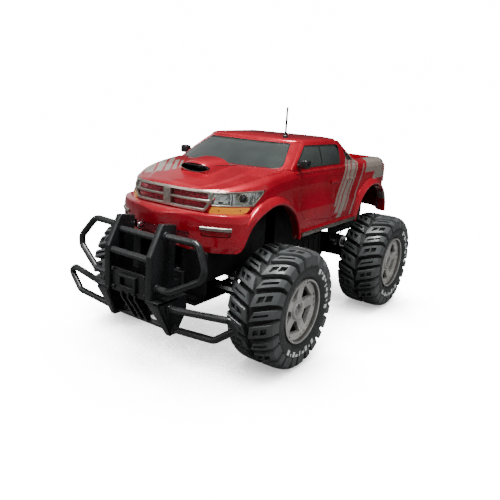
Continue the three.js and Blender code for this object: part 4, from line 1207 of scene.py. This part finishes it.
def headlight(side):
    """A lamp on the slanted corner plane, and the amber strip under it."""
    tag = SIDE_NAME[side]
    bowl = lamp_prism(side, shrunk(LAMP_OUTLINE, -1.2), -6.5, 40)
    combine(bowl, "DIFFERENCE", lamp_prism(side, shrunk(LAMP_OUTLINE, 0.2), -4.8, 60))
    combine(bowl, "INTERSECT", upper_body(1.0))
    shelf = lamp_prism(side, [(2, 201.5), (2, 204.5), (18, 204.5), (18, 201.5)], -5, 0.5)
    fins = [lamp_prism(side, [(s, 200), (s + 1.0, 200), (s + 1.6, 214.4), (s + 0.6, 214.4)], -5, out)
            for s, out in ((20, 2.6), (23, 3.0), (48, 1.5), (51, 0.5))]
    fixed(f"headlight_reflector_{tag}", merged("bowl", [bowl, shelf, *fins]), CHROME, angle=25)

    ring = combine(lamp_disc(side, 6.3, -5, 1.8), "DIFFERENCE", lamp_disc(side, 4.9, -3, 4))
    fixed(f"headlight_ring_{tag}", bevelled(ring, 0.3), SILVER_TRIM)
    block = bevelled(lamp_prism(side, [(7, 201.6), (7, 204), (13, 204), (13, 201.6)], -5, 1.4), 0.3)
    lens = merged("lens", [lamp_dome(side, *PROJECTOR, 4.9, -3, 3.4), block])
    fixed(f"headlight_lens_{tag}", lens, LENS_GLASS)

    cover = layer(upper_body, 0.1, 0.9, lamp_prism(side, shrunk(LAMP_OUTLINE, 0.3), -4, 40))
    fixed(f"headlight_cover_{tag}", cover, CLEAR, f"headlight_{tag}")
    bezel = strip("lamp", shrunk(LAMP_OUTLINE, 0.4), 1.7, 0.7, 2.0, side, closed=True, corner=0.5, step=2)
    fixed(f"headlight_bezel_{tag}", bezel, SILVER_TRIM)

    amber = layer(upper_body, -0.9, 0.6, lamp_prism(side, flat(AMBER_STRIP, 1.2), -20, 40))
    fixed(f"indicator_{tag}", amber, AMBER)
    dots = [lamp_dome(side, s, z, 1.3, body_out(side, s, z) + 0.7, 0.7) for s, z in ((7, 194.6), (31, 195))]
    fixed(f"indicator_pins_{tag}", merged("dots", dots), BLACK)


def body_out(side, s, z):
    """How far the body stands out from the lamp's slanted plane."""
    point, _ = SURFACE.hit("lamp", s, z, side)
    return (Vector((side * point.x, point.y, 0)) - LAMP_START).dot(LAMP_OUT)


def tail_light(side):
    tag = SIDE_NAME[side]
    lens = layer(upper_body, -1.1, 0.4, box(side_reach(side, 82, 101), (233.5, 251), (197, 227)))
    fixed(f"tail_light_lens_{tag}", bevelled(lens, 0.4), RED_LENS, f"tail_light_{tag}")


for side in (LEFT, RIGHT):
    headlight(side)
    tail_light(side)


# ---------------------------------------------------------------- bumper


TOW_HOOK = [(-200, 168), (-209, 168), (-212, 165.5), (-209, 163), (-200, 163)]


def bumper():
    """The lower intake, the tow hooks and the fog lamps' recesses with their bars."""
    intake = prism("y", shrunk(LOWER_INTAKE, -1.5), -215, -185)
    fixed("intake_backing", layer(lower_body, 6.0, 7.4, intake), GRILLE_RED)
    fixed("intake_mesh", lattice((-44, 44, 158.4, 169.6), 3.4, 4.6, 0.5), GRILLE_RED)
    hooks = []
    for side in (LEFT, RIGHT):
        path = [(side * 26, y, z) for y, z in TOW_HOOK]
        hooks.append(tube(rounded(path, 2.4, 5, closed=False), 1.25))
    fixed("tow_hooks", merged("hooks", hooks), STEEL)
    for side in (LEFT, RIGHT):
        tag = SIDE_NAME[side]
        recess = prism("y", [(side * x, z) for x, z in shrunk(FOG_RECESS, -1.5)], -212, -150)
        fixed(f"fog_recess_{tag}", layer(lower_body, 2.2, 3.8, recess), RED_PAINT)
        bar = strip("front", [(57.5, 175.6), (88, 174.8)], 4.6, 1.7, 4.4, side, corner=1.6)
        fixed(f"fog_bar_{tag}", bar, SILVER_TRIM)
        blade = strip("front", [(60, 168.6), (85, 168)], 1.5, -0.2, 3.4, side)
        fixed(f"fog_blade_{tag}", blade, RED_PAINT)


bumper()


# ---------------------------------------------------------------- sills, handles, mirrors, scoop, antenna


def sill_strip(side):
    section = flat([(103.6, 148.2), (105.3, 148.2), (105.3, 153.6), (103.6, 153.6)], [0, 0.7, 0.7, 0], 3)
    rings = [[(side * x, y, z) for x, z in section]
             for y in spread(AXLE_Y["front"] + 63, AXLE_Y["rear"] - 63, 14)]
    fixed(f"sill_strip_{SIDE_NAME[side]}", skin("sill", rings), SILVER_TRIM)


def door_handles(side):
    pieces = []
    for y in (44, 93):
        low, high = HANDLE_Z - 5, HANDLE_Z + 5
        grip = [(y - 11, HANDLE_Z), (y + 11, HANDLE_Z)]
        cup = flat([(y - 2, low), (y - 2, high), (y + 12, high), (y + 12, low)], 2)
        pieces.append(strip("side", grip, 4.0, 2.0, 1.0, side, corner=1.2))
        pieces.append(strip("side", cup, 0.9, 0.45, 1.0, side, closed=True))
    fixed(f"door_handles_{SIDE_NAME[side]}", merged("handles", pieces), RED_PAINT)


MIRROR_Y, MIRROR_Z, MIRROR_SQUARENESS, MIRROR_SWEEP = -49.4, 242.8, 0.35, 0.06
HANDLE_Z = 213
# (distance out, half height, half length) along the mirror's housing.
MIRROR_RINGS = [(94.6, 3.4, 3.6), (95.4, 4.6, 5.2), (97, 5.3, 5.8), (102, 5.5, 5.9), (106, 5.2, 5.5),
                (107.1, 4.2, 4.4), (107.4, 2.4, 2.6)]


def mirror(side):
    tag = SIDE_NAME[side]
    rings = []
    for x, high, long in MIRROR_RINGS:
        ring = []
        for c, s in circle(0, 0, 1):
            y = MIRROR_Y + long * math.copysign(abs(c) ** MIRROR_SQUARENESS, c)
            z = MIRROR_Z + high * math.copysign(abs(s) ** MIRROR_SQUARENESS, s)
            ring.append((side * x, y + (x - 94) * MIRROR_SWEEP, z))
        rings.append(ring)
    arm = tube([(side * 89, -49, 239.5), (side * 94, -49, 240.5), (side * 98, -49, 241.5)], 2.2)
    fixed(f"door_mirror_{tag}", merged("mirror", [skin("housing", rings), arm]), BLACK, f"mirror_{tag}")


def belt_moulding(side):
    """The raised line along the doors, just under the side window."""
    line = strip("side", [(-58, 231.5), (84, 231.5)], 2.4, 0.9, 1.4, side, corner=0.8)
    fixed(f"belt_moulding_{SIDE_NAME[side]}", line, RED_PAINT)


def scoop_duct():
    """The black throat of the bonnet scoop, from its outer lip in and back along its inside."""
    lips = ((-144.2, 0.25), (-143.6, 0.5), (-142, 0.3), (-136, -0.6), (-127, -2.2),
            (-128.5, -3.2), (-136, -1.6), (-144.0, -0.6))
    rings = [[(x, y, z) for x, z in scoop_oval(grow)] for y, grow in lips]
    duct = skin("duct", rings, caps=False, round_path=True)
    back = prism("y", [(u * 18.5, SCOOP_MIDDLE_Z + v * 3.9) for u, v in circle(0, 0, 1, 40)], -129.5, -126.5)
    fixed("scoop_duct", merged("throat", [duct, back]), BLACK, "scoop_insert")


def antenna():
    x, y, _ = middle_mm("antenna")
    foot, tip = (corner[2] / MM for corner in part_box("antenna"))
    profile = [(3.6, foot - 1.5), (3.7, foot + 0.6), (3.0, foot + 1.4), (1.9, foot + 2.2), (1.7, foot + 5.5),
               (1.35, foot + 6.2), (1.25, tip - 2.6), (1.45, tip - 2.2), (1.5, tip - 1.2), (0.9, tip - 0.2)]
    rings = [[(u, v, z) for u, v in circle(x, y, r, 24)] for r, z in profile]
    fixed("whip_antenna", skin("whip", rings), BLACK, "antenna")


for side in (LEFT, RIGHT):
    sill_strip(side)
    belt_moulding(side)
    door_handles(side)
    mirror(side)
scoop_duct()
antenna()




# ---------------------------------------------------------------- bull bar

UPRIGHT = [(-213, 178), (-234, 181), (-252.5, 147), (-253.5, 98), (-236, 94), (-216, 94), (-206.5, 92),
           (-206.5, 112), (-216, 114)]
WEDGE = [(-254, 98), (-254, 94), (-234, 53), (-222, 53), (-206.5, 76), (-206.5, 98)]
COLLAR_RADIUS = 5.4
SHELF = [(-254, 94), (-222, 94), (-222, 98), (-254, 98)]
RIB = [(-252, 97), (-252, 91), (-231, 58), (-225, 60), (-240, 97)]
UPPER_LOOP = [(38.1, -231, 167.5), (83, -228, 167.5), (100, -236, 143), (97, -238, 132), (60, -246, 111.5),
              (38.1, -244, 110)]
LOWER_LOOP = [(50.9, -236, 87), (128, -226, 93), (138, -225, 86), (112, -231, 67), (50.9, -228, 60)]


def cross_bar(y, z, half_width, radius):
    return tube([(x, y, z) for x in (-half_width, 0, half_width)], radius, sides=6)


def wedge_face(side):
    """The tapered front face of a foot, wide under the upright and narrow at its tip."""
    rings = []
    for inner, y, z in ((32, -254, 95), (34, -253.6, 92), (43, -235.5, 56), (44.5, -234, 53.2)):
        section = flat([(inner, 0), (50, 0), (50, 3.5), (inner, 3.5)], 0.7, 3)
        rings.append([(side * x, y + back, z) for x, back in section])
    return skin("part", rings)


def bull_bar_frame():
    hole = flat([(-10.5, 105), (10.5, 105), (10.5, 115), (-10.5, 115)], 1)
    boss = flat([(-14, 98.5), (14, 98.5), (14, 118), (-14, 118)], 1.5)
    pieces = [
        cross_bar(-234, 164, 31.5, 4), cross_bar(-247.5, 142, 31.5, 4), cross_bar(-226, 58, 43.5, 3.5),
        slab("y", [(-32, 94), (32, 94), (32, 123), (-32, 123)], 2, -250, -246, 0.8),
        plate("y", [boss, hole], -254, -248, 0.9),
    ]
    pieces += [slab("x", RIB, 1.5, x - 1.6, x + 1.6, 0.6) for x in (-11, 0, 11)]
    for side in (LEFT, RIGHT):
        pieces.append(slab("x", UPRIGHT, [1.5, 1.5, 3, 2, 2, 2, 2, 2, 2], *side_reach(side, 29.5, 38), 1.0))
        pieces.append(slab("x", WEDGE, [1.5, 1.5, 2, 2, 3, 3], *side_reach(side, 43, 50), 0.9))
        pieces.append(wedge_face(side))
        pieces.append(slab("x", SHELF, 1, *side_reach(side, 30, 50), 0.6))
        for y, z, inner in ((-231, 167.5, 36.5), (-244, 110, 36.5), (-236, 87, 49), (-228, 60, 49)):
            collar = prism("x", circle(y, z, COLLAR_RADIUS), *side_reach(side, inner, inner + 4))
            pieces.append(bevelled(collar, 0.8))
        for z in (99, 121):
            pieces.append(bevelled(prism("y", circle(side * 25.5, z, 2.3, 24), -252, -249), 0.5))
    fixed("moulded_bull_bar", merged("bull_bar", pieces), BLACK, "bull_bar_frame", angle=30)


def bull_bar_loop(level, points, side, corner):
    tag = SIDE_NAME[side]
    path = rounded([(side * x, y, z) for x, y, z in points], corner, 8, closed=False)
    fixed(f"{level}_guard_loop_{tag}", tube(path, 4, sides=6), BLACK, f"bull_bar_{level}_loop_{tag}")


bull_bar_frame()
for side in (LEFT, RIGHT):
    bull_bar_loop("upper", UPPER_LOOP, side, [0, 14, 9, 9, 16, 0])
    bull_bar_loop("lower", LOWER_LOOP, side, [0, 8, 7, 14, 0])




# ---------------------------------------------------------------- tyres

TREAD_PITCHES = 12
TREAD_SLOPE = 0.38
RIM_TURN = math.radians(-28)

# Across half the tread, from the middle (0) over the shoulder to the sidewall (1).
BASE_X = curve((0, 0), (0.35, 12.6), (0.6, 21), (0.75, 25.6), (0.88, 29), (1, 32.5))
BASE_R = curve((0, 70.2), (0.35, 69.8), (0.6, 67.8), (0.75, 64.8), (0.88, 61.2), (1, 57.5))
TOP_X = curve((0, 0), (0.35, 13.8), (0.6, 23.8), (0.75, 29.6), (0.88, 32.9), (1, 33.3))
TOP_R = curve((0, 75), (0.35, 74.95), (0.6, 74.1), (0.75, 72), (0.88, 67.4), (1, 57.8))
# (x, radius) down the sidewall to the bead, with a shoulder step and a raised bead ring.
SIDEWALL = [(32.7, 57.5), (33.2, 56.6), (33.3, 53.5), (33.1, 50), (32.3, 46.8), (31.6, 45.6), (31.8, 45.0),
            (31.4, 44.2), (30.4, 43.4), (29.4, 42.2), (28.3, 41.2), (26.8, 40.4)]
SIDEWALL_X = curve(*sorted((r, x) for x, r in SIDEWALL))
SIDEWALL_TOP, SIDEWALL_FOOT_X, DASH_TOP = 58, 25, 56.2


def carcass():
    """The tyre's hollow body under its tread."""
    crown = [(BASE_X(t), BASE_R(t)) for t in spread(0, 1, 13)]
    outer = crown[:-1] + SIDEWALL
    inner = [(24.5, 41), (27, 46), (29.4, 54), (26, 62), (20, 66.5), (0, 67.6)]
    half = outer + inner
    outline = half + [(-x, r) for x, r in reversed(half[1:-1])]
    # The tread's floor and the tyre's inside get the near-black rubber, painted shade in the grooves between
    # the lugs.
    tyre = painted(turned("carcass", outline, 144), SHADED_GROOVE_RUBBER)
    tyre.data.materials.append(SIDEWALL_RUBBER)
    for face in tyre.data.polygons:
        middle = face.center / MM
        if math.hypot(middle.y, middle.z) < SIDEWALL_TOP and abs(middle.x) > SIDEWALL_FOOT_X:
            face.material_index = 1
    return tyre


def lug(side, angle, low, high, start, grow, skew, pits):
    """One tread lug over the arc low to high. Pits are (from x, to x, from share, to share of the arc)."""
    places = sorted({start + (1 - start) * t for t in spread(0, 1, 12)})
    for x0, x1, _, _ in pits:
        for x in (x0, x0 + 0.5, x1 - 0.5, x1):
            places.append(min(spread(0, 1, 801), key=lambda t: abs(TOP_X(t) - x)))
    marks = sorted({share for pit in pits for share in (pit[2], pit[2] + 0.05, pit[3] - 0.05, pit[3])})
    rings = []
    for t in sorted(places):
        wider = grow * max(0.0, (t - 0.6) / 0.4)
        profile = [(-0.04, -0.25), (0.02, 0.8), (0.07, 1.0)]
        for share in marks:
            height = 1.0
            for x0, x1, a, b in pits:
                if a + 0.01 < share < b - 0.01 and x0 + 0.2 < TOP_X(t) < x1 - 0.2:
                    height = 0.3
            profile.append((share, height))
        profile += [(0.93, 1.0), (0.98, 0.8), (1.04, -0.25)]
        ring = []
        for share, height in profile:
            u = t + skew * (1 - t) * share
            x = BASE_X(u) + (TOP_X(u) - BASE_X(u)) * height
            r = BASE_R(u) + (TOP_R(u) - BASE_R(u)) * height
            s = low - wider / 2 + (high - low + wider) * share + TREAD_SLOPE * TOP_X(u)
            turn = angle - s / TYRE_RADIUS
            ring.append((side * x, *polar(r, turn)))
        rings.append(ring)
    return skin("lug", rings)


def tread():
    """Two lugs of each pitch on each half, with the halves staggered."""
    pitch = 2 * math.pi / TREAD_PITCHES
    lugs = []
    for i in range(TREAD_PITCHES):
        for side in (LEFT, RIGHT):
            angle = (i + (0 if side == LEFT else 0.5)) * pitch
            lugs.append(lug(side, angle, 0, 11.5, 0.05, 0.5, 0.16, [(4.5, 25, 0.36, 0.64)]))
            lugs.append(lug(side, angle, 17.2, 33.6, 0.02, 1.5, 0.1,
                            [(7, 15.5, 0.27, 0.73), (17.5, 25.5, 0.27, 0.73)]))
    # The lugs get the lighter rubber, painted lit from above.
    return painted(merged("tread_lugs", lugs), LIT_TREAD_RUBBER)


def sidewall_dash(start, length, low):
    """A plain raised pale dash on the sidewall."""
    section = ((low, -0.6), (low, 0.15), (low + 0.3, 0.35), (DASH_TOP - 0.3, 0.35), (DASH_TOP, 0.15),
               (DASH_TOP, -0.6))
    return skin("dash", [[(SIDEWALL_X(r) + lift, *polar(r, angle)) for r, lift in section]
                         for angle in spread(start, start + length, 5)])


def sidewall_marks():
    """Two rows of pale dashes, on opposite stretches of the sidewall."""
    dashes = []
    for middle in (math.radians(25), math.radians(265)):
        for k in range(-4, 5):
            length = math.radians(2.4 if k % 3 == 0 else 5.4)
            low = 52.6 if k % 2 else 49.6
            dashes.append(sidewall_dash(middle + k * math.radians(8.2) - length / 2, length, low))
    return painted(merged("marks", dashes), TYRE_MARK)


# ---------------------------------------------------------------- rims

DISC_FACE = curve((7, 22.8), (12, 22.6), (20, 22.2), (28, 23), (33, 24.4), (37, 26.2))
SPOKES = 5
SLOT_LOW, SLOT_HIGH, SLOT_HALF_ANGLE, SLOT_PITCH = 34.3, 36.1, 0.062, 0.231
DISC_THICKNESS = 5.6


def spoke_window(angle):
    """The opening between two spokes, narrow at the hub and wide at the rim."""
    corners = [(14.6, -0.20), (14.6, 0.20), (24, 0.37), (32.6, 0.44), (32.6, -0.44), (24, -0.37)]
    outline = flat([polar(r, angle + turn) for r, turn in corners], [2.6, 2.6, 6, 3.2, 3.2, 6])
    return prism("x", outline, 0, 40)


def rim_slot(angle):
    """A short curved slot outside the spokes."""
    turns = spread(-SLOT_HALF_ANGLE, SLOT_HALF_ANGLE, 5)
    outline = [polar(SLOT_LOW, angle + t) for t in turns]
    outline += [polar(SLOT_HIGH, angle + t) for t in reversed(turns)]
    return prism("x", outline, 0, 40)


def rim():
    """A five-spoke disc with slots, on a barrel with a bright outer lip."""
    radii = spread(37.4, 7.4, 14)
    outline = [(DISC_FACE(r), r) for r in radii]
    outline += [(DISC_FACE(r) - DISC_THICKNESS, r) for r in reversed(radii)]
    disc = turned("disc", outline, 120)
    cuts = []
    for i in range(SPOKES):
        angle = RIM_TURN + 2 * math.pi * i / SPOKES
        cuts.append(spoke_window(angle))
        for turn in (-SLOT_PITCH, 0, SLOT_PITCH):
            cuts.append(rim_slot(angle + math.pi / SPOKES + turn))
    combine(disc, "DIFFERENCE", *cuts)
    bevelled(disc, 0.55, 3, 40)
    barrel = turned("barrel", [
        (30.6, 38.4), (28.6, 37.4), (22, 36.4), (10, 35.6), (-22, 35.0), (-28, 37.0), (-30.9, 38.0),
        (-30.9, 40.2), (-27.4, 39.9), (-26.4, 38.4), (-22, 37.2), (22, 37.9), (26.4, 38.6), (27.6, 39.9),
        (30.2, 40.0)], 144)
    hub = turned("hub", [
        (23.6, 8.6), (24.6, 9.0), (25.2, 9.8), (25.2, 11.0), (24.4, 12.0), (22.8, 12.7), (18, 13), (13, 11.4),
        (-12, 11), (-12, 3.5), (16, 3.5), (16, 8.6)], 72)
    painted(barrel, RIM_INNER)
    face = painted(merged("face", [disc, hub]), RIM_METAL)
    lip = turned("lip", [(29.8, 38.3), (30.6, 37.9), (31.2, 38.3), (31.5, 39.2), (31.2, 40.2), (30.2, 40.6),
                         (28.6, 40.4), (28.2, 39.7)], 144)
    return merged("rim", [face, barrel, painted(lip, RIM_LIP)])


def wheel_nut():
    hexagon = [polar(5.7, math.pi * k / 3 + 0.2) for k in range(6)]
    nut = bevelled(prism("x", hexagon, 16.3, 20.4), 0.5, 2, 20)
    washer = bevelled(prism("x", circle(0, 0, 6.6, 40), 16.05, 17.0), 0.25, 2, 40)
    stub = bevelled(prism("x", circle(0, 0, 2.9, 28), 19, 22.2), 0.5, 2, 40)
    return merged("nut", [nut, washer, stub])


def put_wheel(obj, name, side, end):
    """A copy of a wheel piece, turned half way round on the right side as the wheels are."""
    piece = linked(name, obj.data.copy())
    hub = Vector((side * WHEEL_X, AXLE_Y[end], AXLE_Z))
    return mapped(piece, lambda p: Vector((side * p.x, side * p.y, p.z)) + hub)


def wheels():
    tyre = merged("tyre", [carcass(), tread(), sidewall_marks()])
    wheel_rim = rim()
    nut = wheel_nut()
    for end in ("front", "rear"):
        for side in (LEFT, RIGHT):
            tag = SIDE_NAME[side]
            body = f"front_wheel_{tag}" if end == "front" else "rear_wheels"
            finished(put_wheel(tyre, f"lugged_tyre_{end}_{tag}", side, end), body,
                     replaces=[f"{end}_tyre_{tag}"], angle=30)
            finished(put_wheel(wheel_rim, f"spoked_rim_{end}_{tag}", side, end), body,
                     replaces=[f"{end}_rim_{tag}"], angle=35)
            finished(put_wheel(nut, f"axle_nut_{end}_{tag}", side, end), body, STEEL,
                     replaces=[f"{end}_wheel_nut_{tag}"])
    for source in (tyre, wheel_rim, nut):
        drop(source)


wheels()


# ---------------------------------------------------------------- chassis and suspension

SPRING_X, SPRING_LOW, SPRING_HIGH, SPRING_RADIUS, SPRING_WIRE = 46, 97.7, 144.3, 9.1, 1.15
SPRING_TURNS, SPRING_LENGTH, SPRING_TRAVEL = 6.5, 49, 11
# Outlines of black panels that fill the gaps under the body, standing in for its shade and dark hardware.
BUMPER_BACKING = [(34, 94), (34, 150), (72, 150), (72, 100), (62, 94)]
FRONT_LINER = [(-84, 108), (-84, 186), (66, 186), (66, 122), (40, 112)]
MIDDLE_LINER = [(-66, 118), (-66, 186), (72, 186), (72, 118)]
REAR_LINER = [(-60, 120), (-60, 186), (62, 186), (62, 112), (-40, 112)]
TUB_SIDE, TUB_LOW, TUB_FRONT, TUB_BACK = 50, 62, -38, 114


def coil_spring(end, side):
    """A fine coil with closed ends."""
    tag = f"{end}_spring_{SIDE_NAME[side]}"
    place_x, place_y = side * SPRING_X, middle_mm(tag).y
    rise = curve((0, 0), (0.12, 0.035), (0.88, 0.965), (1, 1))
    path = []
    for t in spread(0, 1, 160):
        u, v = polar(SPRING_RADIUS, 2 * math.pi * SPRING_TURNS * t)
        path.append((place_x + u, place_y + v, SPRING_LOW + (SPRING_HIGH - SPRING_LOW) * rise(t)))
    spring = tube(path, SPRING_WIRE, sides=3)
    fixed(f"coil_spring_{end}_{SIDE_NAME[side]}", spring, DARK_STEEL, tag, angle=60)
    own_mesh(spring)


def screw(place_mm, out, radius=2.6):
    """A pan-head screw with a crossed slot, facing up (1) or down (-1)."""
    profile = ((radius, -0.6), (radius, 0.5), (radius * 0.9, 1.0), (radius * 0.6, 1.35), (0.2, 1.45))
    head = skin("head", [[(u, v, w) for u, v in circle(0, 0, r, 24)] for r, w in profile])
    slot, narrow, depth = radius * 0.62, (-0.35, 0.35), (0.6, 3)
    combine(head, "DIFFERENCE", box((-slot, slot), narrow, depth), box(narrow, (-slot, slot), depth))
    return mapped(head, lambda p: Vector((p.x, p.y * out, p.z * out)) + Vector(place_mm))


def chassis_screws():
    heads = []
    for side in (LEFT, RIGHT):
        for y in (TUB_FRONT + 8, 12, TUB_BACK - 8):
            heads.append(screw((side * 44, y, TUB_LOW), -1))
        for y in (-196, -182):
            heads.append(screw((side * 26, y, 121), 1))
        for end in ("front", "rear"):
            y = middle_mm(f"{end}_spring_{SIDE_NAME[side]}").y
            heads.append(screw((side * SPRING_X, y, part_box(f"{end}_shock_tower")[1][2] / MM), 1, 3.2))
    fixed("chassis_screws", merged("screws", heads), STEEL)


def side_slab(side, y, z, corner, x):
    """A flat panel on one side of the truck, over the given stretches of y, z and x."""
    outline = [(y[0], z[0]), (y[1], z[0]), (y[1], z[1]), (y[0], z[1])]
    return slab("x", outline, corner, *side_reach(side, *x), 0.4)


def tub_ribs():
    ribs = []
    for side in (LEFT, RIGHT):
        for y in range(-28, 110, 17):
            ribs.append(side_slab(side, (y - 1.2, y + 1.2), (66, 113), 0.8, (TUB_SIDE - 0.6, TUB_SIDE + 1.5)))
        ribs.append(side_slab(side, (TUB_FRONT + 6, TUB_BACK - 6), (84, 87), 1,
                              (TUB_SIDE - 0.6, TUB_SIDE + 1.2)))
    fixed("tub_side_ribs", merged("ribs", ribs), BLACK_ROUGH)


def shade_filling_liners():
    """Black panels under the shell: behind the bumper, beside the shock towers and along the sills. They fill
    the gaps where the floor would show through, standing in for the shade and dark hardware under the body.
    """
    liners = ((AXLE_Y["front"], FRONT_LINER), (0, MIDDLE_LINER), (AXLE_Y["rear"], REAR_LINER))
    panels = []
    for side in (LEFT, RIGHT):
        panels.append(slab("y", [(side * x, z) for x, z in BUMPER_BACKING], 4, -200, -198, 0.4))
        for middle, points in liners:
            outline = [(middle + y, z) for y, z in points]
            panels.append(slab("x", outline, 5, *side_reach(side, 57.5, 59.5), 0.4))
    fixed("shade_filling_liners", merged("panels", panels), BLACK_ROUGH)


for end in ("front", "rear"):
    for side in (LEFT, RIGHT):
        coil_spring(end, side)
shade_filling_liners()
chassis_screws()
tub_ribs()


# ---------------------------------------------------------------- CAD pieces that keep their shape


def repaint(material, *nodes):
    for node in nodes:
        painted(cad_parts[node], material)


repaint(BLACK_ROUGH, "chassis_tub", "front_shock_tower", "rear_shock_tower", "battery_door",
        "front_axle_beam", "knuckle_left", "knuckle_right", "front_link", "rear_link",
        "axle_housing_left", "axle_housing_right", "steering_servo")
repaint(NYLON, "servo_horn", "final_gear", "power_switch")
repaint(STEEL, "tie_rod", "rear_axle_shaft", "motor_pinion", "drive_motor", "front_shock_rod_left",
        "front_shock_rod_right", "rear_shock_rod_left", "rear_shock_rod_right")
repaint(BATTERY_WRAP, "battery_pack")
repaint(BOARD, "receiver_board")


# ---------------------------------------------------------------- floor, light and camera

CAMERA_PLACE = Vector((433.5, -636.9, 316.2))
CAMERA_AZIMUTH, CAMERA_ELEVATION, CAMERA_ROLL = 34.79, 15.78, 3.55
CAMERA_LENS = 38.03
FLOOR_GLOW = 16
FLOOR_END, FLOOR_BEND = 3500, 1500
ROOM_LOW, ROOM_HIGH = 0.75, 0.22
# (openness to the sky, brightness)
FLOOR_SHADE = ((0.12, 0.03), (0.3, 0.07), (0.5, 0.16), (0.66, 0.4), (0.8, 0.95))


def studio_floor():
    """A pale floor that curves up into a backdrop far behind the truck. Its glow is dimmed where the truck
    hides the sky, a painted shadow.
    """
    bend = [(FLOOR_END + FLOOR_BEND * math.sin(a), FLOOR_BEND * (1 - math.cos(a)))
            for a in spread(0.1, math.pi / 2, 12)]
    profile = [(-6000, 0), (FLOOR_END, 0), *bend, (FLOOR_END + FLOOR_BEND, 6000)]
    count = len(profile)
    verts = [Vector((x, y, z)) * MM for x in (-6000, 0, 6000) for y, z in profile]
    faces = [(i * count + j, i * count + j + 1, (i + 1) * count + j + 1, (i + 1) * count + j)
             for i in range(2) for j in range(count - 1)]
    mesh = bpy.data.meshes.new("studio_floor")
    mesh.from_pydata(verts, [], faces)
    mesh.shade_smooth()
    floor = linked("studio_floor", mesh)
    m = Material("floor_white", (0.12, 0.12, 0.12), 0.7, Emission_Color=(1, 1, 1))
    # Painted shadow: the floor's glow fades with how much of the sky the truck hides.
    open_sky = m.node("AmbientOcclusion", {"samples": 8}, Distance=0.16).outputs["AO"]
    shade = m.node("FloatCurve", Value=open_sky)
    points = shade.mapping.curves[0].points
    for position, level in FLOOR_SHADE:
        points.new(position, level)
    points[0].location = (0, 0.02)
    shade.mapping.update()
    m.set("Emission Strength", m.times(m.seen_directly(), m.times(shade.outputs[0], FLOOR_GLOW)))
    painted(floor, m.material)


def area_light(name, place_mm, target_mm, size, power, reflected=True):
    data = bpy.data.lights.new(name, "AREA")
    data.shape = "RECTANGLE"
    data.size, data.size_y = size
    data.energy = power
    light = linked(name, data)
    light.visible_glossy = reflected
    light.location = Vector(place_mm) * MM
    direction = Vector(target_mm) - Vector(place_mm)
    light.rotation_euler = direction.to_track_quat("-Z", "Y").to_euler()


def studio_world():
    """A white background that lights the truck as pale walls, brightest behind it,
    under a darker ceiling."""
    world = bpy.data.worlds.new("studio")
    bpy.context.scene.world = world
    world.use_nodes = True
    n = Nodes(world.node_tree)
    direction = n.node("TexCoord").outputs["Generated"]
    _, y, z = n.node("SeparateXYZ", i0=direction).outputs
    room = n.ramp(n.math("MULTIPLY_ADD", y, -0.25, z), -0.1, 0.6, ROOM_LOW, ROOM_HIGH)
    glow = n.math("MULTIPLY_ADD", n.seen_directly(), FLOOR_GLOW, room)
    background = n.tree.nodes["Background"]
    n.feed(background.inputs["Color"], (1, 1, 1))
    n.feed(background.inputs["Strength"], glow)


def studio_lights():
    cab_middle = (0, -50, 150)
    area_light("overhead", (-100, -300, 1500), cab_middle, (0.5, 0.5), 52)
    area_light("front_left", (-700, -1100, 900), cab_middle, (0.3, 1.0), 5)
    area_light("right", (1300, -200, 1000), (0, 0, 130), (0.3, 1.2), 20, reflected=False)


def photo_camera():
    data = bpy.data.cameras.new("camera")
    data.sensor_width = 36
    data.lens = CAMERA_LENS
    data.clip_end = 50
    camera = linked("camera", data)
    stand = Matrix.Translation(CAMERA_PLACE * MM)
    for degrees, axis in ((CAMERA_AZIMUTH, "Z"), (90 - CAMERA_ELEVATION, "X"), (CAMERA_ROLL, "Z")):
        stand = stand @ Matrix.Rotation(math.radians(degrees), 4, axis)
    camera.matrix_world = stand
    bpy.context.scene.camera = camera


studio_floor()
studio_world()
studio_lights()
photo_camera()
